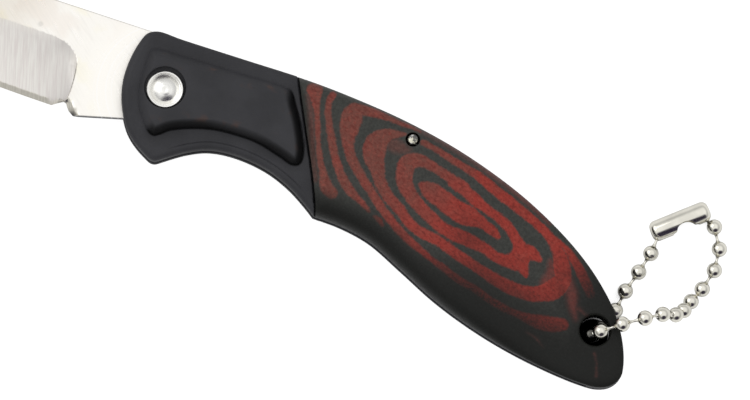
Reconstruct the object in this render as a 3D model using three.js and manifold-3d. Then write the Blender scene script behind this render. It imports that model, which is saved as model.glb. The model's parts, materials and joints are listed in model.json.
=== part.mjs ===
// Folding pocket knife with a back lock, laminated grip panels and a ball chain, lying open on its side.
// Units are millimetres. +X runs from the blade's tip to the butt, +Y towards the knife's back, +Z up.
// The outlines are drawn about the blade's pivot, at the knife's middle plane. The last group moves the
// origin to the flat of the rear grip panel, where the knife rests.
import * as THREE from "three";
import { mergeVertices } from "three/addons/utils/BufferGeometryUtils.js";
import Module from "manifold-3d";

const wasm = await Module();
wasm.setup();

// Layers of the handle, from the middle plane outwards
const HANDLE_THICKNESS = 12;
const SLOT_WIDTH = 2.9;
const PLATE_THICKNESS = 1.2;
const BORDER_DROP = 1.4;
const PANEL_BED_GAP = 0.05;
const FACE = HANDLE_THICKNESS / 2;
const INNER = SLOT_WIDTH / 2;
const PLATE_TOP = INNER + PLATE_THICKNESS;
const BORDER_TOP = FACE - BORDER_DROP;
const PANEL_BED = PLATE_TOP + PANEL_BED_GAP;

// Edges of the moulded bolster
const BORDER_ROUND = 1.0;
const PLATEAU_ROUND = 0.6;
const PLATEAU_ROOT = 0.3;

// Grip panels
const PANEL_GAP = 0.3;
const PANEL_CHAMFER = 0.9;
const PANEL_SQUARENESS = 3.2;
const PANEL_CROWN = 1.07;
const PANEL_START_MARGIN = 0.6;
const PANEL_END_MARGIN = 0.03;
const PANEL_STATIONS = 26;
const PANEL_ROUNDS = 14;
const BUTT_THICKNESS = 7.0;
const BUTT_TAPER_START = 48;
const BUTT_TAPER_END = 70;

// Blade
const BLADE_THICKNESS = 2.2;
const BLADE_RISE = 0.6;
const BLADE_TIP_X = -70.5;
const BLADE_TIP_Y = 1.3;
const SPINE_Y = 8.1;
const TANG_RADIUS = 6.2;
const EDGE_HALF = 0.05;
const BEVEL_HALF = 0.3;
const BEVEL_HEIGHT = 0.65;
const TIP_HALF = 0.35;
const TAPER_START = 45;
const HOLLOW_POWER = 1.8;
const HOLLOW_STEPS = [0.2, 0.5, 0.8];
const LINE_GAP = 0.06;
const TANG_OVERLAP = 0.5;
const NICK_LENGTH = 11;
const NICK_HEIGHT = 1.7;
const NICK_DEPTH = 0.5;
const NICK_FROM_TIP = 30.5;
const NICK_Y = 5.9;
const BLADE_HALF = BLADE_THICKNESS / 2;
const PLUNGE_X = -13.2;
const PLUNGE_LENGTH = 3.2;
const PLUNGE_POWER = 0.6;
const TANG_ARC_STEP = 9;

// Pivot rivet: a headed stem in a headed sleeve
const RIVET_HEAD_RADIUS = 2.81;
const RIVET_RECESS_RADIUS = 3.05;
const RIVET_RECESS_DEPTH = 1.0;
const RIVET_SLEEVE_RADIUS = 1.9;
const RIVET_STEM_RADIUS = 1.25;
const RIVET_SINK = 0.1;
const RIVET_RIM_WIDTH = 0.42;
const RIVET_GROOVE_DEPTH = 0.3;
const RIVET_DOME_HEIGHT = 0.26;
const RIVET_STEM_END_GAP = 0.4;
const RIVET_SLEEVE_END_GAP = 0.3;
const RIVET_BORE_END_GAP = 0.1;
const RUNNING_CLEARANCE = 0.1;
const SEAT_CLEARANCE = 0.05;
const WASHER_RADIUS = 4.2;
const WASHER_THICKNESS = 0.25;

// Lock bar and its rocker pin
const ROCKER_X = 37.7;
const ROCKER_Y = 4.15;
const ROCKER_PIN_RADIUS = 0.8;
const ROCKER_RECESS_RADIUS = 1.1;
const ROCKER_PIN_SINK = 0.55;
const ROCKER_PIN_CHAMFER = 0.15;
const LOCK_BAR_WIDTH = 2.6;
const LOCK_FRONT_X = 3.0;
const LOCK_TAIL_X = 60.2;
const LOCK_TAIL_DEPTH = 1.9;
const LOCK_TOP_DROP = 0.08;
const LOCK_TAIL_DROP = 0.35;
const LOCK_ARM_Y = 5.9;
const LOCK_BOSS_RADIUS = 2.3;

// Spring, spacer and hidden rivets
const SPRING_WIDTH = 2.0;
const SPRING_LEAF = 0.5;
const SPRING_POCKET_END = 0.15;
const LOCK_TAIL_GAP = 0.7;
const SPACER_START_X = LOCK_TAIL_X + LOCK_TAIL_GAP;
const SPACER_CLEARANCE = 0.05;
const SLOT_END_X = 73.7;
const HIDDEN_RIVET_RADIUS = 0.9;
const HIDDEN_RIVETS = [
  [65.2, -4.6],
  [75.3, -20.2],
];

// Lanyard hole and ball chain
const LANYARD_X = 72.45;
const LANYARD_Y = -14.75;
const LANYARD_RADIUS = 2.3;
const BEAD_RADIUS = 1.2;
const BEAD_WALL = 0.2;
const BEAD_MOUTH_RADIUS = 0.42;
const LINK_ROD_RADIUS = 0.2;
const LINK_HEAD_RADIUS = 0.32;
const LINK_HEAD_OFFSET = 0.5;
const CONNECTOR_RADIUS = 1.45;
const CONNECTOR_WALL = 0.18;
const CONNECTOR_END_WALL = 0.38;
const CONNECTOR_END_ROUND = 0.4;
const CONNECTOR_LENGTH = 9.4;
const CONNECTOR_SLOT = 0.9;
const CONNECTOR_NOTCH_RADIUS = 1.4;
const CONNECTOR_NOTCH_DEPTH = 1.28;
const CONNECTOR_NOTCH_OFFSET = 0.5;
const CONNECTOR_BEAD_INSET = 1.65;

// Where the knife rests, measured from the pivot
const REST_X = 38;
const REST_Y = -4;

// Handle outline from the lower tip of the bolster, round the front, back and butt, to the belly's cusp
const HANDLE_TIP = [1.5, -10.9];
const HANDLE_CUSP = [27.0, -11.2];
const HANDLE_ROUND = [
  HANDLE_TIP, [-1.64, -9.12], [-3.62, -7.34], [-5.35, -4.42], [-6.32, -1.53], [-6.55, 1.2], [-6.3, 3.9],
  [-5.75, 6.1], [-5.1, 7.45], [-3.65, 8.2], [0, 8.12], [10, 8.09], [20, 8.06], [27, 7.66], [36, 6.67],
  [45, 4.87], [54, 2.04], [60.1, -0.6], [66.1, -3.96], [70.6, -7.3], [74.36, -11.08], [76.9, -15.05],
  [78.15, -18.5], [78.26, -20.35], [77.23, -21.94], [75.4, -22.8], [72.5, -22.95], [66, -22.34],
  [60, -21.3], [54, -19.75], [48, -17.66], [42, -14.92], [36, -12.3], [31, -11.35], HANDLE_CUSP,
];
const BOLSTER_BELLY = [
  HANDLE_CUSP, [25.2, -9.95], [22, -8.1], [18, -6.65], [13, -6.05], [9, -6.5], [6, -7.8],
  [3.4, -9.5], HANDLE_TIP,
];
const PLATEAU = [
  [-3.2, 5.55], [-3.85, 5.0], [-4.0, 2.6], [-3.9, -0.7], [-3.4, -2.6], [-2.4, -4.6], [-0.9, -6.3],
  [0.35, -6.95], [1.2, -6.5], [2.3, -5.6], [4.7, -4.5], [8.4, -3.45], [12, -3.15], [15.6, -3.3],
  [19.6, -4.3], [21.5, -4.85], [22.5, -4.5], [22.65, -2.9], [20.8, 1.4], [19.5, 3.5], [18.1, 5.5],
  [17.1, 5.9], [10.3, 5.85], [1.2, 5.75],
];
// Line where the bolster meets the grip panel, from the back to the belly
const JOINT_LINE = [
  [17.6, 9.6], [18.65, 7.2], [20.5, 3.3], [22.95, -1.75], [25.1, -6.3], [26.7, -10.3], [27.4, -13],
];

// Blade: height of the spine, of the hollow's upper line and of the cutting edge along its length
const SPINE_DROP = [
  ...fromTip([[32.5, SPINE_Y], [22.5, 7.75], [14.5, 6.6], [7.5, 4.75], [2.5, 2.8]]),
  [BLADE_TIP_X, BLADE_TIP_Y],
];
const EDGE_LINE = [
  ...fromPlunge([[-2.4, -7.16], [-6.8, -7.1], [-12.8, -6.95]]),
  ...fromTip([[34.5, -6.9], [24.5, -6.5], [16.5, -5.4], [9.5, -3.6], [4, -1.4]]),
  [BLADE_TIP_X, BLADE_TIP_Y],
];
const GRIND_LINE = [
  ...fromPlunge([[-0.35, -3.7], [-0.6, -0.1], [-1.2, 1.2], [-2.1, 1.9], [-3.5, 2.45], [-6.1, 3.0]]),
  ...fromPlunge([[-8.8, 3.3], [-13.6, 2.8]]),
  ...fromTip([[30.5, 2.7], [16.5, 3.1], [6.5, 2.6]]),
  [BLADE_TIP_X, BLADE_TIP_Y],
];
const CHOIL = fromPlunge([[0, -6.75], [-0.35, -6.2], [-0.8, -6.05], [-1.55, -6.55], [-2.4, -7.16]]);
// Sections of the blade: near the plunge by distance, and then by share of the length left to the tip
const PLUNGE_STATIONS = [0, 0.35, 0.6, 0.9, 1.55, 2.4, 3.8, 6.1, 8.8];
const TIP_STATIONS = [
  0.083, 0.186, 0.289, 0.392, 0.495, 0.577, 0.66, 0.732, 0.804, 0.866, 0.918, 0.959, 0.984, 0.997,
];

// Tang outline ahead of and behind its round back: lock notch, rest notch, ricasso and kick
const LOCK_NOTCH = [
  [2.75, SPINE_Y], [2.75, 4.5], [4.3, 3.45],
];
const LOCK_NOTCH_END_ANGLE = 28;
const REST_NOTCH_START_ANGLE = -98;
const REST_NOTCH_AND_KICK = [
  [-1.35, -5.0], [-3.2, -4.3], [-4.2, -5.65],
  ...fromPlunge([[2, -7.54], [1.2, -7.7], [0.4, -7.2], [0, -6.75]]),
];

// Lock bar's underside from the tail to the rocker boss, and from the boss to the tooth
const LOCK_TAIL_XS = [LOCK_TAIL_X, 56, 51, 46, 42];
const LOCK_TOP_XS = [LOCK_FRONT_X, 10, 18, 25, 31, 37, 43, 49, 55, LOCK_TAIL_X];
const LOCK_ARM = [
  [33.2, 3.4], [27, 4.7], [20, 5.4], [15, LOCK_ARM_Y], [5.7, LOCK_ARM_Y],
];
const LOCK_TOOTH = [
  [5.15, 5.2], [4.4, 4.7], [LOCK_FRONT_X + 0.05, 5.68],
];
const SPACER_FRONT = [
  [SPACER_START_X, -6.4], [66.2, -9.2], [68.2, -12.4], [68.6, -16], [70.3, -18.6], [72.4, -20.6],
  [SLOT_END_X, -22],
];
const SPRING_LINE = [
  [64.6, -7.1], [61, -5.3], [57, -3.4], [52, -0.95], [48.6, 0.75], [46.8, 1.35],
];

// Bead centres with their height over the surface: from the hole's mouth round to the connector
const FRONT_STRAND = [
  [73.27, -14.68, 9.9], [76.05, -12.72, 10.8], [79.05, -10.8, 10.5], [81.45, -9.3, 8.6],
  [83.4, -8.55, 5.8], [84.4, -7.35, 3.0], [85.05, -5.6, 1.3], [86.1, -3.3, 1.2],
  [87.0, -0.05, 1.2], [86.75, 3.25, 1.2], [85.05, 6.2, 1.25],
];
// and from the connector back under the butt and up through the hole
const BACK_STRAND = [
  [77.1, -0.5, 1.25], [76.2, -3.75, 1.2], [75.15, -7.1, 1.2], [74.6, -10.35, 1.2],
  [73.35, -13.6, 1.25], [72.4, -15.1, 4.2], [72.0, -15.4, 7.3],
];
const CONNECTOR_CENTRE = [79.84, 5.4];
const CONNECTOR_ANGLE = 39.8;

// Finishes
const finishes = {
  moulded_black: { color: 0x1a1a1b, roughness: 0.55, metalness: 0.0 },
  laminated_wood: { color: 0x5c2220, roughness: 0.45, metalness: 0.0 },
  blade_steel: { color: 0xb4b6b6, roughness: 0.32, metalness: 1.0 },
  lock_steel: { color: 0x8d9092, roughness: 0.4, metalness: 1.0 },
  rivet_steel: { color: 0xc4c6c8, roughness: 0.22, metalness: 1.0 },
  washer_bronze: { color: 0xa57a45, roughness: 0.35, metalness: 1.0 },
  chain_nickel: { color: 0xc9c8c4, roughness: 0.18, metalness: 1.0 },
};

function fromTip(points) {
  return points.map(([x, y]) => [BLADE_TIP_X + x, y]);
}

function fromPlunge(points) {
  return points.map(([x, y]) => [PLUNGE_X + x, y]);
}

// Smooth curve through hand-picked points, as plain [x, y] pairs
function smooth(points, stepsPerPoint, closed = false) {
  const through = points.map(([x, y]) => new THREE.Vector3(x, y, 0));
  const curve = new THREE.CatmullRomCurve3(through, closed);
  const spans = closed ? points.length : points.length - 1;
  const sampled = curve.getPoints(spans * stepsPerPoint);
  if (closed) sampled.pop();
  return sampled.map((p) => [p.x, p.y]);
}

// Height of a line of points at x, with straight stretches between the points
function heightAt(line, x) {
  for (let i = 1; i < line.length; i++) {
    const [x0, y0] = line[i - 1];
    const [x1, y1] = line[i];
    if ((x - x0) * (x - x1) <= 0 && x0 !== x1) return y0 + ((y1 - y0) * (x - x0)) / (x1 - x0);
  }
  const nearest = Math.abs(x - line[0][0]) < Math.abs(x - line.at(-1)[0]) ? line[0] : line.at(-1);
  return nearest[1];
}

// Highest and lowest crossing of a closed outline with the vertical line at x
function crossing(outline, x) {
  const heights = [];
  outline.forEach(([x0, y0], i) => {
    const [x1, y1] = outline[(i + 1) % outline.length];
    if ((x0 <= x) !== (x1 <= x)) heights.push(y0 + ((y1 - y0) * (x - x0)) / (x1 - x0));
  });
  return [Math.max(...heights), Math.min(...heights)];
}

function signedArea(points) {
  return points.reduce((sum, [x, y], i) => {
    const [nx, ny] = points[(i + 1) % points.length];
    return sum + (x * ny - nx * y) / 2;
  }, 0);
}

// Outline moved inwards by a distance, with mitred corners
function inset(points, distance) {
  const side = signedArea(points) > 0 ? 1 : -1;
  const normals = points.map(([x, y], i) => {
    const [nx, ny] = points[(i + 1) % points.length];
    const length = Math.hypot(nx - x, ny - y);
    return [(-side * (ny - y)) / length, (side * (nx - x)) / length];
  });
  return points.map(([x, y], i) => {
    const [ax, ay] = normals[(i + points.length - 1) % points.length];
    const [bx, by] = normals[i];
    const share = distance / (1 + ax * bx + ay * by);
    return [x + share * (ax + bx), y + share * (ay + by)];
  });
}

// Closed solid through rings of equally many points. The plane argument maps a point for the end caps.
function loft(rings, plane = (p) => new THREE.Vector2(p[0], p[1])) {
  const count = rings[0].length;
  const positions = rings.flat(2);
  const index = [];
  for (let r = 0; r + 1 < rings.length; r++) {
    for (let i = 0; i < count; i++) {
      const a = r * count + i;
      const b = r * count + ((i + 1) % count);
      index.push(a, b, b + count, a, b + count, a + count);
    }
  }
  const lastBase = positions.length / 3 - count;
  const ends = [[rings[0], 0, false], [rings.at(-1), lastBase, true]];
  for (const [ring, base, upwards] of ends) {
    const flat = ring.map(plane);
    const counterclockwise = signedArea(flat.map((p) => [p.x, p.y])) > 0;
    THREE.ShapeUtils.triangulateShape(flat, []).forEach(([a, b, c]) => {
      if (counterclockwise === upwards) index.push(base + a, base + b, base + c);
      else index.push(base + a, base + c, base + b);
    });
  }
  const geometry = new THREE.BufferGeometry();
  geometry.setAttribute("position", new THREE.Float32BufferAttribute(positions, 3));
  geometry.setIndex(index);
  return facingOut(geometry);
}

// Turns the faces round where they point inwards
function facingOut(geometry) {
  const p = geometry.attributes.position;
  const index = geometry.index.array;
  const [a, b, c] = [new THREE.Vector3(), new THREE.Vector3(), new THREE.Vector3()];
  let volume = 0;
  for (let i = 0; i < index.length; i += 3) {
    a.fromBufferAttribute(p, index[i]);
    b.fromBufferAttribute(p, index[i + 1]);
    c.fromBufferAttribute(p, index[i + 2]);
    volume += a.dot(b.cross(c));
  }
  if (volume < 0) {
    for (let i = 0; i < index.length; i += 3) {
      [index[i + 1], index[i + 2]] = [index[i + 2], index[i + 1]];
    }
  }
  return geometry;
}

// Flat plate with the outline, between two heights
function plate(outline, low, high) {
  return loft([outline.map(([x, y]) => [x, y, low]), outline.map(([x, y]) => [x, y, high])]);
}

// Plate whose upper edge is rounded off
function roundedPlate(outline, low, high, radius, steps = 3) {
  const levels = [[low, 0]];
  for (let i = 0; i <= steps; i++) {
    const angle = (i / steps) * (Math.PI / 2);
    levels.push([high - radius + radius * Math.sin(angle), radius * (1 - Math.cos(angle))]);
  }
  return loft(levels.map(([z, d]) => inset(outline, d).map(([x, y]) => [x, y, z])));
}

function cylinder(radius, low, high, x, y, sides = 24) {
  const geometry = new THREE.CylinderGeometry(radius, radius, high - low, sides);
  geometry.rotateX(Math.PI / 2);
  geometry.translate(x, y, (low + high) / 2);
  return geometry;
}

function turned(profile, sides = 24) {
  const geometry = new THREE.LatheGeometry(profile.map(([r, z]) => new THREE.Vector2(r, z)), sides);
  geometry.rotateX(Math.PI / 2);
  return geometry;
}

// Same solid on the other side of the middle plane
function otherSide(geometry) {
  const mirrored = geometry.clone().applyMatrix4(new THREE.Matrix4().makeScale(1, 1, -1));
  if (!mirrored.index) mirrored.setIndex([...Array(mirrored.attributes.position.count).keys()]);
  return facingOut(mirrored);
}

function solid(geometry) {
  const bare = geometry.clone();
  bare.deleteAttribute("normal");
  bare.deleteAttribute("uv");
  const merged = mergeVertices(bare, 1e-4);
  const faces = [];
  for (let i = 0; i < merged.index.count; i += 3) {
    const [a, b, c] = [0, 1, 2].map((k) => merged.index.getX(i + k));
    if (a !== b && b !== c && c !== a) faces.push(a, b, c);
  }
  const mesh = new wasm.Mesh({
    numProp: 3,
    vertProperties: merged.attributes.position.array,
    triVerts: new Uint32Array(faces),
  });
  return new wasm.Manifold(mesh);
}

function geometryOf(manifold) {
  const mesh = manifold.getMesh();
  const geometry = new THREE.BufferGeometry();
  geometry.setAttribute("position", new THREE.BufferAttribute(mesh.vertProperties, 3));
  geometry.setIndex(new THREE.BufferAttribute(mesh.triVerts, 1));
  return geometry;
}

// A body with pieces added, then others cut away
function shaped(body, added, removed) {
  let result = solid(body);
  added.forEach((piece) => (result = result.add(solid(piece))));
  removed.forEach((piece) => (result = result.subtract(solid(piece))));
  return geometryOf(result);
}

const HANDLE = [...smooth(HANDLE_ROUND, 2).slice(0, -1), ...smooth(BOLSTER_BELLY, 2).slice(0, -1)];
const JOINT = smooth(JOINT_LINE, 2);
const handleBack = (x) => crossing(HANDLE, x)[0];
// Box well outside the handle, for the solids that cut it
const around = new THREE.Box2().setFromPoints(HANDLE.map(([x, y]) => new THREE.Vector2(x, y)));
around.expandByScalar(HANDLE_THICKNESS);

// Everything behind the joint line, or everything ahead of it, moved along X by a shift
function besideJoint(shift, farX) {
  return [...JOINT.map(([x, y]) => [x + shift, y]), [farX, around.min.y], [farX, around.max.y]];
}

// Moulded half of the handle: bolster border, raised plateau and the plate under the grip panel
function shellGeometry() {
  const body = roundedPlate(HANDLE, INNER, BORDER_TOP, BORDER_ROUND);
  const plateau = roundedPlate(smooth(PLATEAU, 2, true), BORDER_TOP - PLATEAU_ROOT, FACE, PLATEAU_ROUND);
  const bed = plate(besideJoint(0, around.max.x), PLATE_TOP, FACE + 1);
  const recess = cylinder(RIVET_RECESS_RADIUS, FACE - RIVET_RECESS_DEPTH, FACE + 1, 0, 0, 32);
  const pivotHole = cylinder(RIVET_SLEEVE_RADIUS + SEAT_CLEARANCE, 0, FACE, 0, 0);
  const rockerHole = cylinder(ROCKER_PIN_RADIUS + SEAT_CLEARANCE, 0, FACE, ROCKER_X, ROCKER_Y, 16);
  const lanyardHole = cylinder(LANYARD_RADIUS, 0, FACE, LANYARD_X, LANYARD_Y);
  const rivetHoles = HIDDEN_RIVETS.map(([x, y]) =>
    cylinder(HIDDEN_RIVET_RADIUS + SEAT_CLEARANCE, 0, FACE, x, y, 12),
  );
  return shaped(body, [plateau], [bed, recess, pivotHole, rockerHole, lanyardHole, ...rivetHoles]);
}

// Height of the panel's crown over the middle plane, thinner towards the butt
function panelTop(x) {
  const t = THREE.MathUtils.smoothstep(x, BUTT_TAPER_START, BUTT_TAPER_END);
  return THREE.MathUtils.lerp(FACE, BUTT_THICKNESS / 2, t);
}

// Crowned panel, lofted along the knife, then cut to the joint line with a chamfered front edge
function panelGeometry() {
  const startX = JOINT_LINE[0][0] - PANEL_START_MARGIN;
  const endX = Math.max(...HANDLE.map(([x]) => x)) - PANEL_END_MARGIN;
  const rings = [];
  for (let i = 0; i < PANEL_STATIONS; i++) {
    const t = i / (PANEL_STATIONS - 1);
    const x = startX + (endX - startX) * Math.sin((t * Math.PI) / 2);
    const [back, low] = crossing(HANDLE, x);
    const belly = x < HANDLE_CUSP[0] ? HANDLE_CUSP[1] : low;
    const middle = (back + belly) / 2;
    const half = (back - belly) / 2;
    const crown = panelTop(x) - PANEL_BED;
    const ring = [];
    for (let k = 0; k <= PANEL_ROUNDS; k++) {
      const angle = (k / PANEL_ROUNDS) * Math.PI;
      const u = Math.sign(Math.cos(angle)) * Math.abs(Math.cos(angle)) ** (2 / PANEL_SQUARENESS);
      const v = Math.min(1, PANEL_CROWN * Math.sin(angle) ** (2 / PANEL_SQUARENESS));
      ring.push([x, middle + half * u, PANEL_BED + crown * (k % PANEL_ROUNDS ? v : 0)]);
    }
    rings.push(ring);
  }
  const body = loft(rings, (p) => new THREE.Vector2(p[1], p[2]));
  const foot = besideJoint(PANEL_GAP, around.min.x);
  const brow = besideJoint(PANEL_GAP + PANEL_CHAMFER, around.min.x);
  const front = loft([
    foot.map(([x, y]) => [x, y, PANEL_BED - 1]),
    foot.map(([x, y]) => [x, y, FACE - PANEL_CHAMFER]),
    brow.map(([x, y]) => [x, y, FACE]),
    brow.map(([x, y]) => [x, y, FACE + 1]),
  ]);
  const pinRecess = cylinder(ROCKER_RECESS_RADIUS, 0, FACE + 1, ROCKER_X, ROCKER_Y, 20);
  const lanyardHole = cylinder(LANYARD_RADIUS, 0, FACE + 1, LANYARD_X, LANYARD_Y);
  return shaped(body, [], [front, pinRecess, lanyardHole]);
}

// Spacer that closes the butt between the halves, with a pocket for the spring's root
function spacerGeometry() {
  const high = INNER - SPACER_CLEARANCE;
  const body = solid(plate(inset(HANDLE, SPACER_CLEARANCE), -high, high));
  const region = [
    [SPACER_START_X, around.max.y], ...SPACER_FRONT, [SLOT_END_X, around.min.y],
    [around.max.x, around.min.y], [around.max.x, around.max.y],
  ];
  const kept = geometryOf(body.intersect(solid(plate(region, -FACE, FACE))));
  const lanyardHole = cylinder(LANYARD_RADIUS, -FACE, FACE, LANYARD_X, LANYARD_Y);
  const rivetHoles = HIDDEN_RIVETS.map(([x, y]) =>
    cylinder(HIDDEN_RIVET_RADIUS + SEAT_CLEARANCE, -FACE, FACE, x, y, 12),
  );
  const pocketWidth = SPRING_LEAF + 2 * RUNNING_CLEARANCE;
  const pocket = plate(strip(SPRING_LINE, pocketWidth, SPRING_POCKET_END), -FACE, FACE);
  return shaped(kept, [], [lanyardHole, pocket, ...rivetHoles]);
}

// Outline of a strip of constant width along a line, lengthened a little at both ends
function strip(line, width, extra = 0) {
  const points = smooth(line, 2);
  const sides = points.map(([x, y], i) => {
    const [ax, ay] = points[Math.max(0, i - 1)];
    const [bx, by] = points[Math.min(points.length - 1, i + 1)];
    const length = Math.hypot(bx - ax, by - ay);
    const [dx, dy] = [(bx - ax) / length, (by - ay) / length];
    const end = i === 0 ? -extra : i === points.length - 1 ? extra : 0;
    const [cx, cy] = [x + dx * end, y + dy * end];
    return [
      [cx - (dy * width) / 2, cy + (dx * width) / 2],
      [cx + (dy * width) / 2, cy - (dx * width) / 2],
    ];
  });
  return [...sides.map((s) => s[0]), ...sides.map((s) => s[1]).reverse()];
}

function springGeometry() {
  return plate(strip(SPRING_LINE, SPRING_LEAF), -SPRING_WIDTH / 2, SPRING_WIDTH / 2);
}

// Lock bar, drawn with its tooth lifted clear of the tang
function lockBarGeometry() {
  const top = LOCK_TOP_XS.map((x) => {
    const t = THREE.MathUtils.smoothstep(x, ROCKER_X, LOCK_TAIL_X);
    return [x, handleBack(x) - THREE.MathUtils.lerp(LOCK_TOP_DROP, LOCK_TAIL_DROP, t)];
  });
  const tail = LOCK_TAIL_XS.map((x) => [x, handleBack(x) - LOCK_TAIL_DROP - LOCK_TAIL_DEPTH]);
  const boss = [];
  for (let angle = -30; angle >= -150; angle -= 20) {
    const a = THREE.MathUtils.degToRad(angle);
    boss.push([ROCKER_X + LOCK_BOSS_RADIUS * Math.cos(a), ROCKER_Y + LOCK_BOSS_RADIUS * Math.sin(a)]);
  }
  const outline = [...top, ...tail, ...boss, ...LOCK_ARM, ...LOCK_TOOTH];
  const half = LOCK_BAR_WIDTH / 2;
  const hole = cylinder(ROCKER_PIN_RADIUS + RUNNING_CLEARANCE, -FACE, FACE, ROCKER_X, ROCKER_Y, 16);
  return shaped(plate(outline, -half, half), [], [hole]);
}

// Half-thickness of the unground blade, thinner towards the tip
function bladeHalfAt(x) {
  const t = THREE.MathUtils.smoothstep(-x, TAPER_START, -BLADE_TIP_X);
  return THREE.MathUtils.lerp(BLADE_HALF, TIP_HALF, t);
}

// One blade section: half-thickness from the spine down to the edge on both sides
function bladeRing(x, spine, grind, edge, depth) {
  const bevelTop = Math.min(edge + BEVEL_HEIGHT, grind - LINE_GAP / 2);
  const whole = bladeHalfAt(x);
  const bevelHalf = Math.min(BEVEL_HALF, whole);
  const side = [[spine, whole], [grind, whole]];
  for (const t of HOLLOW_STEPS) {
    const full = bevelHalf + (whole - bevelHalf) * (1 - t) ** HOLLOW_POWER;
    side.push([grind + (bevelTop - grind) * t, whole - depth * (whole - full)]);
  }
  side.push([bevelTop, whole - depth * (whole - bevelHalf)]);
  side.push([edge, whole - depth * (whole - EDGE_HALF)]);
  const front = side.map(([y, z]) => [x, y, z]);
  const rear = side.map(([y, z]) => [x, y, -z]).reverse();
  return [...front, ...rear];
}

// Blade: ground part lofted from the plunge to the tip, and the flat tang with its notches
function bladeGeometry() {
  const spineLine = [[0, SPINE_Y], ...smooth(SPINE_DROP, 3)];
  const edgeLine = [...CHOIL, ...smooth(EDGE_LINE, 3)];
  const grindLine = smooth(GRIND_LINE, 3);
  const [, choilStart] = CHOIL[0];
  const [, grindStart] = GRIND_LINE[0];
  const rings = [bladeRing(PLUNGE_X + TANG_OVERLAP, SPINE_Y, grindStart, choilStart, 0)];
  const nearPlunge = PLUNGE_STATIONS.map((distance) => PLUNGE_X - distance);
  const towardsTip = TIP_STATIONS.map((t) => THREE.MathUtils.lerp(nearPlunge.at(-1), BLADE_TIP_X, t));
  for (const x of [...nearPlunge, ...towardsTip]) {
    const ramp = THREE.MathUtils.smoothstep(-x, -PLUNGE_X, -PLUNGE_X + PLUNGE_LENGTH);
    const depth = ramp ** PLUNGE_POWER;
    const spine = heightAt(spineLine, x);
    const edge = heightAt(edgeLine, x);
    const grind = Math.min(heightAt(grindLine, x), spine - LINE_GAP);
    rings.push(bladeRing(x, spine, Math.max(grind, edge + LINE_GAP), edge, depth));
  }
  const ground = loft(rings, (p) => new THREE.Vector2(p[1], p[2]));
  const arc = [];
  for (let angle = LOCK_NOTCH_END_ANGLE; angle >= REST_NOTCH_START_ANGLE; angle -= TANG_ARC_STEP) {
    const a = THREE.MathUtils.degToRad(angle);
    arc.push([TANG_RADIUS * Math.cos(a), TANG_RADIUS * Math.sin(a)]);
  }
  const tangOutline = [[PLUNGE_X, SPINE_Y], ...LOCK_NOTCH, ...arc, ...REST_NOTCH_AND_KICK];
  const tang = plate(tangOutline, -BLADE_HALF, BLADE_HALF);
  const bore = cylinder(RIVET_SLEEVE_RADIUS + RUNNING_CLEARANCE, -FACE, FACE, 0, 0);
  const nick = new THREE.SphereGeometry(0.5, 16, 8);
  nick.scale(NICK_LENGTH, NICK_HEIGHT, 2 * NICK_DEPTH);
  nick.translate(BLADE_TIP_X + NICK_FROM_TIP, NICK_Y, BLADE_HALF);
  return shaped(ground, [tang], [bore, nick]);
}

// Rivet head's outer face: a low dome, a groove round it and a raised rim, from the axis to the seat
function headProfile(seat, top) {
  const rim = RIVET_HEAD_RADIUS;
  const groove = rim - RIVET_RIM_WIDTH;
  const foot = top - RIVET_GROOVE_DEPTH;
  const dome = [0, 0.25, 0.5, 0.7, 0.85, 0.95].map((share) => [
    groove * share,
    foot + RIVET_DOME_HEIGHT * (1 - share ** 2),
  ]);
  return [
    ...dome, [groove, foot], [groove + RIVET_RIM_WIDTH * 0.4, top - 0.03],
    [groove + RIVET_RIM_WIDTH * 0.6, top], [rim - 0.06, top - 0.07], [rim, top - 0.25], [rim, seat],
  ];
}

const RIVET_SEAT = FACE - RIVET_RECESS_DEPTH + SEAT_CLEARANCE;
const RIVET_TOP = FACE - RIVET_SINK;

function rivetStemGeometry() {
  const head = headProfile(RIVET_SEAT, RIVET_TOP);
  const foot = -RIVET_SEAT + RIVET_STEM_END_GAP;
  const profile = [...head, [RIVET_STEM_RADIUS, RIVET_SEAT], [RIVET_STEM_RADIUS, foot], [0, foot]];
  return turned(profile.reverse(), 20);
}

function rivetSleeveGeometry() {
  const head = headProfile(RIVET_SEAT, RIVET_TOP);
  const mouth = -RIVET_SEAT + RIVET_SLEEVE_END_GAP;
  const bore = RIVET_STEM_RADIUS + SEAT_CLEARANCE;
  const floor = RIVET_SEAT - RIVET_BORE_END_GAP;
  const profile = [...head, [RIVET_SLEEVE_RADIUS, RIVET_SEAT], [RIVET_SLEEVE_RADIUS, mouth],
    [bore, mouth], [bore, floor], [0, floor]];
  return otherSide(turned(profile.reverse(), 20));
}

function washerGeometry() {
  const low = BLADE_HALF + SEAT_CLEARANCE;
  const high = low + WASHER_THICKNESS;
  const bore = RIVET_SLEEVE_RADIUS + SEAT_CLEARANCE;
  const profile = [[bore, low], [WASHER_RADIUS, low], [WASHER_RADIUS, high], [bore, high], [bore, low]];
  return turned(profile, 24);
}

function rockerPinGeometry() {
  const end = FACE - ROCKER_PIN_SINK;
  const edge = ROCKER_PIN_CHAMFER;
  const profile = [[0, -end], [ROCKER_PIN_RADIUS - edge, -end], [ROCKER_PIN_RADIUS, -end + edge],
    [ROCKER_PIN_RADIUS, end - edge], [ROCKER_PIN_RADIUS - edge, end], [0, end]];
  return turned(profile, 16);
}

function hiddenRivetGeometry() {
  const end = PLATE_TOP - SEAT_CLEARANCE;
  return cylinder(HIDDEN_RIVET_RADIUS, -end, end, 0, 0, 12);
}

// Direction that turns a solid's Z axis along a vector
function along(direction) {
  const unit = direction.clone().normalize();
  return new THREE.Quaternion().setFromUnitVectors(new THREE.Vector3(0, 0, 1), unit);
}

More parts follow.
